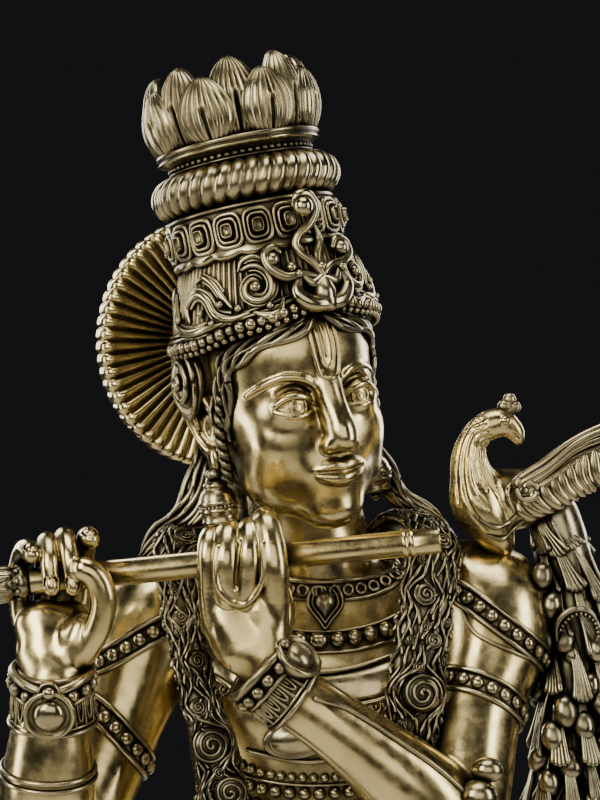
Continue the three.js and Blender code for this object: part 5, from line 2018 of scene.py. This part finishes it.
def make_tail():
    tail = Soup()
    spine = spline(
        [
            (95, 2, 706), (104, 3, 694), (111, 0, 664), (112, -4, 624), (109, -8, 582),
            (104, -10, 541),
        ],
        80,
    )
    tail.tube(spine, ramp(80, [0, 0.2, 0.6, 1], [7, 11, 12, 6]), 14)
    rng = np.random.default_rng(TAIL_SEED)

    def plume(start, end, outward, width, count=5):
        """A bundle of strands that curls outward and flares into a scalloped fan."""
        start, end, outward = (np.asarray(v, float) for v in (start, end, outward))
        across = unit(np.cross(end - start, outward))
        t = np.linspace(0, 1, 16)
        flare = 0.30 + 0.75 * t**2.5
        bulge = 2.6 * np.sin(pi * t) + 3.4 * t**4
        swing = 2.2 * np.sin(pi * t * 1.3 + rng.uniform(-0.8, 0.8))
        for k in range(count):
            u = (k + 0.5) / count * 2 - 1
            drop = -2.2 * (1 - u * u) * t**3
            line = start + (end - start) * t[:, None] + across * (u * width * flare + swing)[:, None]
            line = line + outward * bulge[:, None]
            line[:, 2] += drop
            tail.tube(line, np.interp(t, [0, 0.7, 1], [0.9, 1.0, 1.5]), 7)
            tail.stamp(BEAD, placed(line[-1:], [outward], (0, 0, 1), width / count * 1.35))

    def bud(at, size, long, lean):
        m = placed(np.array([at]), [lean], (1, 0, 0), [[size, size * 0.85, long]])
        tail.stamp(bead_shape(18, 12), m)

    tiers = ((704, 678), (692, 658), (674, 636), (654, 614), (630, 590), (606, 566), (582, 545))
    for tier, (z0, z1) in enumerate(tiers):
        count = 9
        for k in range(count):
            a = tau * (k + 0.5 * (tier % 2)) / count + 0.2
            outward = np.array([cos(a), sin(a) * 0.9, 0.0])
            i = int(np.argmin(np.abs(spine[:, 2] - z0)))
            j = int(np.argmin(np.abs(spine[:, 2] - z1)))
            rim = 9 + 3.0 * min(tier, 2)
            long = 0.8 + 0.3 * rng.random()
            start = spine[i] + outward * rim * 0.5
            end = start + (spine[j] + outward * rim - start) * long
            plume(start, end, unit(outward), 3.6 + 0.8 * rng.random())
            if tier >= 1 and rng.random() < 0.62:
                size = 3.6 + 1.4 * rng.random()
                bud(end + outward * 2.0 + [0, 0, -3], size, size * 1.25, unit(outward * 0.35 + [0, 0, -1]))
                bud(
                    end + outward * 1.0 + [3.0, 0, -9], size * 0.75, size,
                    unit(outward * 0.3 + [0.3, 0, -1]),
                )
    t = np.linspace(0, 1, 30)
    a = pi * (t - 0.1)
    for sweep in (1, -1):
        crescent = np.stack(
            [112 + sweep * 9 * np.cos(a), -19 - 3 * np.sin(pi * t), 644 + 13 * np.sin(a) - 6 * t],
            axis=1,
        )
        tail.tube(crescent, np.interp(t, [0, 0.5, 1], [0.7, 1.7, 0.7]), 8)
        if sweep > 0:
            bead_row(tail, crescent[3:-3] + [0, -1.4, -1.6], 0.8, step=2.0)
    for x, z, size in (
        (107, 609, 5.6), (101.5, 598, 5.2), (115, 603, 5.0), (109, 586, 5.4), (100, 578, 4.6),
    ):
        bud((x, -19, z), size, size * 1.35, (0.15, -0.2, -1))
    for x, z, size in ((97, 668, 4.6), (101, 655, 4.8), (121, 636, 4.4), (98, 640, 4.4), (118, 620, 4.6)):
        bud((x, -16, z), size, size * 1.3, (-0.1, -0.2, -1))
    finish_soup(tail, "peacock_tail_feathers", DARK, nodes=["peacock_tail"])


def make_peacock():
    make_bird()
    make_wing()
    make_tail()


# --- Below the waist: belt, dhoti, sashes, feet ---


RIGHT_LEG = [(-20, 2, 440), (-10, -14, 350), (8, -34, 264), (28, -28, 188), (44, -12, 112)]
LEFT_LEG = [(26, 4, 440), (28, 0, 350), (22, -2, 258), (20, 7, 180), (15, 7, 98)]


def sculpt_legs():
    """Hips and legs wrapped in cloth, with folds that sag between the seams of each leg."""
    clay = Clay((-66, -76, 92), (78, 52, 500), 1.5)
    clay.column(
        [
            (396, 4, 2, 30, 24), (412, 4, 3, 50, 37), (440, 4, 4, 57, 41), (470, 3, 4, 50, 37),
            (497, -1, 3, 42, 31),
        ],
        4,
    )
    clay.worm(RIGHT_LEG, [30, 26.5, 19.5, 18.5, 13.5], 8, count=20)
    clay.worm(LEFT_LEG, [30, 27, 19.5, 20.5, 14.5], 8, count=20)
    _, x, y, z = clay.region(clay.low, clay.low + 1000, 0)
    away = []
    for leg in (RIGHT_LEG, LEFT_LEG):
        table = np.array(leg, float)[::-1]
        across = x - np.interp(z, table[:, 2], table[:, 0])
        deep = y - np.interp(z, table[:, 2], table[:, 1])
        away.append((across**2 + 0.15 * deep**2) / 30)
    sag = 9 * np.log1p(np.minimum(away[0], away[1]) / 6)
    phase = (z - sag + 0.30 * y + 3.5 * np.sin(z / 29) + 2 * np.sin(x / 17)) / 16.5
    fold = (0.5 + 0.5 * np.cos(tau * phase)) ** 1.8
    fine = (0.5 + 0.5 * np.cos(tau * (2 * phase + 0.3))) ** 2
    depth = np.interp(z, [100, 128, 420, 468], [0.2, 1.0, 1.0, 0.0])
    behind = np.interp(y, [0, 28], [1.0, 0.40])
    clay.field -= depth * behind * (2.9 * fold + 0.7 * fine)
    return clay


LEGS = sculpt_legs()


def pleats(cloth, points, widths, depth, count, out, hem=True):
    """A strip of pleated cloth along a path: rounded pleats over a flat backing, and a hem."""
    path, along, side, lift = ribbon_frame(points, out, 2.0)
    t = np.linspace(0, 1, len(path))
    wide = np.interp(t, np.linspace(0, 1, len(widths)), widths)
    for k in range(count):
        u = (k + 0.5) / count * 2 - 1
        curve = depth * np.sqrt(max(0, 1 - 0.8 * u * u))
        sway = 0.8 * np.sin(t * 7 + k * 0.9) * t
        line = path + side * (u * wide + sway)[:, None] + lift * (curve - 1.5 * (k % 2))
        cloth.tube(line, wide / count * 1.25, 9)
    if hem:
        u = np.linspace(-1, 1, 30)
        bow = depth * np.sqrt(np.clip(1 - 0.8 * u**2, 0, 1)) + 0.8
        edge = path[-1] + u[:, None] * side[-1] * wide[-1] + lift[-1] * bow[:, None]
        cloth.tube(edge - along[-1] * 1.5, 2.0, 8)
        cloth.tube(edge - along[-1] * 7.0, 1.0, 8)
    cloth.tube(path, wide * 0.92, 14, flat=0.16, up=lift, blunt=False)


def make_sashes():
    for name, points in (
        ("sash_end_left", [(63, -4, 476), (71, -8, 420), (70, -8, 340), (80, -6, 264)]),
        ("sash_end_right", [(-58, -4, 476), (-65, -8, 420), (-62, -8, 350), (-72, -6, 284)]),
    ):
        cloth = Soup()
        pleats(cloth, points, [7, 11, 12, 18], 3.4, 6, (0, -1, 0))
        pleats(cloth, points, [6, 10, 11, 17], 3.0, 6, (0, 1, 0))
        for k in range(9):
            at = np.array(points[-1]) + [(k - 4) * 4.0, -1.5, -2]
            cloth.tube([at, at + [0, 0, -3], at + [0, 0, -6.5]], [1.2, 1.6, 0.5], 8)
        finish_soup(cloth, name + "_cloth", DARK, nodes=[name])

    cloth = Soup()
    swag = [(-57, -4, 477), (-41, -37, 447), (4, -59, 421), (48, -36, 447), (61, -4, 477)]
    outward = [(-1, -0.4, 0.2), (-0.6, -0.8, 0.3), (0, -1, 0.3), (0.6, -0.8, 0.3), (1, -0.4, 0.2)]
    pleats(cloth, swag, [6, 9, 10, 9, 6], 3.0, 5, outward, hem=False)
    for x in (-57, 61):
        knot = np.array([x, -5, 478])
        cloth.stamp(bead_shape(18, 12), stretched(knot, (7, 8, 6)))
        for k in range(4):
            cloth.tube(circle_at(knot, (0.3, 0.2, 1), 5.2 + k * 0.7, 28, 6.4), 0.9, 6, closed=True)
    finish_soup(cloth, "hip_sash_cloth", DARK, nodes=["hip_sash"])


def make_belt():
    belt = Soup()
    turn = np.linspace(0, tau, 140, endpoint=False)

    def oval(rx, ry, z):
        return np.stack([-1 + rx * np.sin(turn), 3 - ry * np.cos(turn), np.full(140, float(z))], axis=1)

    section = (
        (38, 28, 485.6), (44.5, 34.5, 485.8), (45.4, 35.4, 488), (44.6, 34.6, 492),
        (45.4, 35.4, 496), (44.5, 34.5, 498.2), (38, 28, 498.4),
    )
    belt.ring(np.stack([oval(*row) for row in section], axis=1)[:, ::-1])
    for z in (487, 497):
        belt.tube(oval(45.4, 35.4, z), 1.5, 8, closed=True)
    spots = even(np.vstack([oval(45.0, 35.0, 492), oval(45.0, 35.0, 492)[:1]]), 8.0)[:-1]
    belt.stamp(BUTTON, placed(spots, spots - [-1, 3, 492], (0, 0, 1), 3.4))
    belt.stamp(ROSETTE, placed(np.array([[-1, -33, 490]]), [[0, -1, 0]], (1, 0, 0), 10.5))
    for k, x in enumerate(np.linspace(-34, 32, 12)):
        y = 3 - 36.5 * np.sqrt(1 - ((x + 1) / 46) ** 2)
        drop = 12 + 4 * (k % 2)
        line = np.array([[x, y, 486], [x, y - 3.0, 486 - drop / 2], [x, y - 5.0, 486 - drop]])
        on, _ = LEGS.snap(line[1:], 1.2)
        belt.tube(np.vstack([line[:1], on]), [0.8, 0.9, 0.8], 7)
        belt.stamp(BEAD, placed(on[-1:], [[0, -1, 0]], (1, 0, 0), 2.2))
    finish_soup(belt, "waist_belt_discs", ANTIQUE, nodes=["waist_belt"])


def make_anklets():
    anklets = Soup()
    left, right = (15, 7, 103), (42.5, -13.5, 119)
    for centre, axis, radius in ((left, (0.05, 0, 1), 16.4), (right, (-0.22, -0.2, 1), 15.4)):
        for h in (-5, 5):
            anklets.tube(
                circle_at(np.array(centre) + unit(axis) * h, axis, radius, 60), 1.6, 8,
                closed=True,
            )
        row = circle_at(centre, axis, radius + 0.3, 18)
        anklets.stamp(BEAD, placed(row, row - centre, (0, 0, 1), 2.9))
    finish_soup(anklets, "anklet_beads", ANTIQUE)


def make_lower():
    LEGS.made("dhoti_casting", ANTIQUE, smooth=2, nodes=["hips", "leg_right", "leg_left"])
    cloth = Soup()
    fan = [(-4, -42, 482), (-14, -47, 390), (-24, -42, 290), (-28, -33, 190), (-26, -29, 114)]
    pleats(cloth, fan, [13, 17, 21, 25, 30], 5, 9, (0, -1, 0))
    pleats(cloth, fan, [12, 16, 20, 24, 29], 2.5, 9, (0, 1, 0))
    finish_soup(cloth, "dhoti_pleat_fan", ANTIQUE, nodes=["dhoti_pleats"])
    make_sashes()
    make_belt()
    make_anklets()


def make_feet():
    for name, path, radii, heading in (
        (
            "foot_left",
            [(13, 18, 84), (14, 10, 90), (17, -6, 86), (21, -22, 82), (24, -33, 80)],
            [9, 12, 11, 9.5, 7], (0.25, -1),
        ),
        (
            "foot_right",
            [(44.5, -10, 108), (47, -14, 98), (52, -24, 88), (56, -36, 83), (58, -42, 81)],
            [11, 12, 11, 9.5, 8], (0.2, -1),
        ),
    ):
        foot = Clay((-12, -66, 66), (84, 44, 124), 0.9)
        foot.worm(path, radii, 4, count=20)
        if name == "foot_left":
            foot.worm([(14, 9, 104), (13, 12, 88), (13, 19, 83)], [13, 11.5, 9.5], 4)
        ahead = unit(np.array([heading[0], heading[1], 0.0]))
        side = np.array([-ahead[1], ahead[0], 0.0])
        ball = np.array(path[-1], float)
        for k in range(5):
            big = 3.9 if k == 0 else 2.8 - 0.12 * k
            way = side * (8.4 - 4.3 * k) * (1 if name == "foot_left" else -1)
            start = ball - ahead * 4 + way * 0.95
            tip = ball + ahead * (10.5 - 1.6 * k) + way * 1.02
            tip[2] = 74.4 + big
            foot.worm([start, (start + tip) / 2 + [0, 0, 1.6], tip], [big * 1.15, big, big * 0.95], 1.0)
            foot.oval(tip + [0, 0, big * 0.72] + ahead * big * 0.1, (big * 0.6, big * 0.8, big * 0.35), 0.2)
        # A flat sole.
        foot.field[...] = np.maximum(foot.field, (74.05 - foot.axes[2])[None, None, :])
        foot.made(name + "_casting", POLISHED, smooth=1, nodes=[name])


# --- Base ---


def make_base():
    lotus = Soup()
    lotus.turn(
        [
            (0.5, 51.2), (91, 51.2), (93.5, 52), (97, 58), (99.5, 64), (100.5, 69.5),
            (101.5, 72), (99, 73.6), (0.5, 73.65),
        ],
        128,
    )
    lotus.stamp(veined_petal(14, 19), spin(22, 92.5, 51.0, (27.5, 22.0, 24.5), lean=radians(24)))
    lotus.stamp(veined_petal(12, 15), spin(22, 90.0, 51.0, (22.0, 18.0, 24.0), lean=radians(20), phase=0.5))
    bead_row(lotus, circle(100.2, 72.2, 200), 1.9, step=5.2)
    finish_soup(lotus, "lotus_upper_petals", ANTIQUE, nodes=["lotus_upper"])

    lower = Soup()
    lower.turn(
        [
            (0.5, 28), (103, 28), (104.5, 29.5), (103, 33), (98, 40), (94, 46), (92.5, 50.6),
            (0.5, 50.6),
        ],
        128,
    )
    hang = spin(22, 91.5, 50.4, (-27.5, 22.0, -23.0), lean=radians(-30))
    lower.stamp(veined_petal(14, 19), hang)
    lower.stamp(
        veined_petal(12, 15),
        spin(22, 89.5, 50.4, (-22.0, 18.0, -22.0), lean=radians(-28), phase=0.5),
    )
    lower.tube(circle(93.5, 50.2, 160), 0.9, 8, closed=True)
    finish_soup(lower, "lotus_lower_petals", ANTIQUE, nodes=["lotus_lower"])

    plinth = Soup()
    plinth.turn(
        [
            (0.5, 0.05), (108.5, 0.05), (111.3, 1.2), (111.5, 3), (111.5, 6.5), (109.5, 8),
            (107, 9), (105.5, 11.5), (105.2, 14.5), (106.2, 17.5), (108, 19), (110.4, 20),
            (110.9, 22), (110.4, 24.4), (108, 25.6), (106.8, 26.6), (106.5, 27.8), (0.5, 27.85),
        ],
        160,
    )
    bead_row(plinth, circle(106.2, 13.4, 240), 3.0, step=7.4)
    for z, r in ((9.2, 106.6), (17.8, 106.6)):
        plinth.tube(circle(r, z, 200), 1.0, 8, closed=True)
    finish_soup(plinth, "plinth_mouldings", ANTIQUE, nodes=["plinth"])


PIECES = [
    make_base,
    make_lower,
    make_feet,
    make_body,
    make_hands,
    make_bands,
    make_bracelets,
    make_necklaces,
    make_garlands,
    make_head,
    make_hair,
    make_earrings,
    make_cap,
    make_crown,
    make_halo,
    make_flute,
    make_peacock,
]

make_camera()
make_light()
make_floor()
for entry in frame["record"]["subparts"]:
    for place in bpy.data.objects[entry["node"]].material_slots:
        place.material = SLOTS[entry["material_slot"]]
for make in PIECES:
    make()
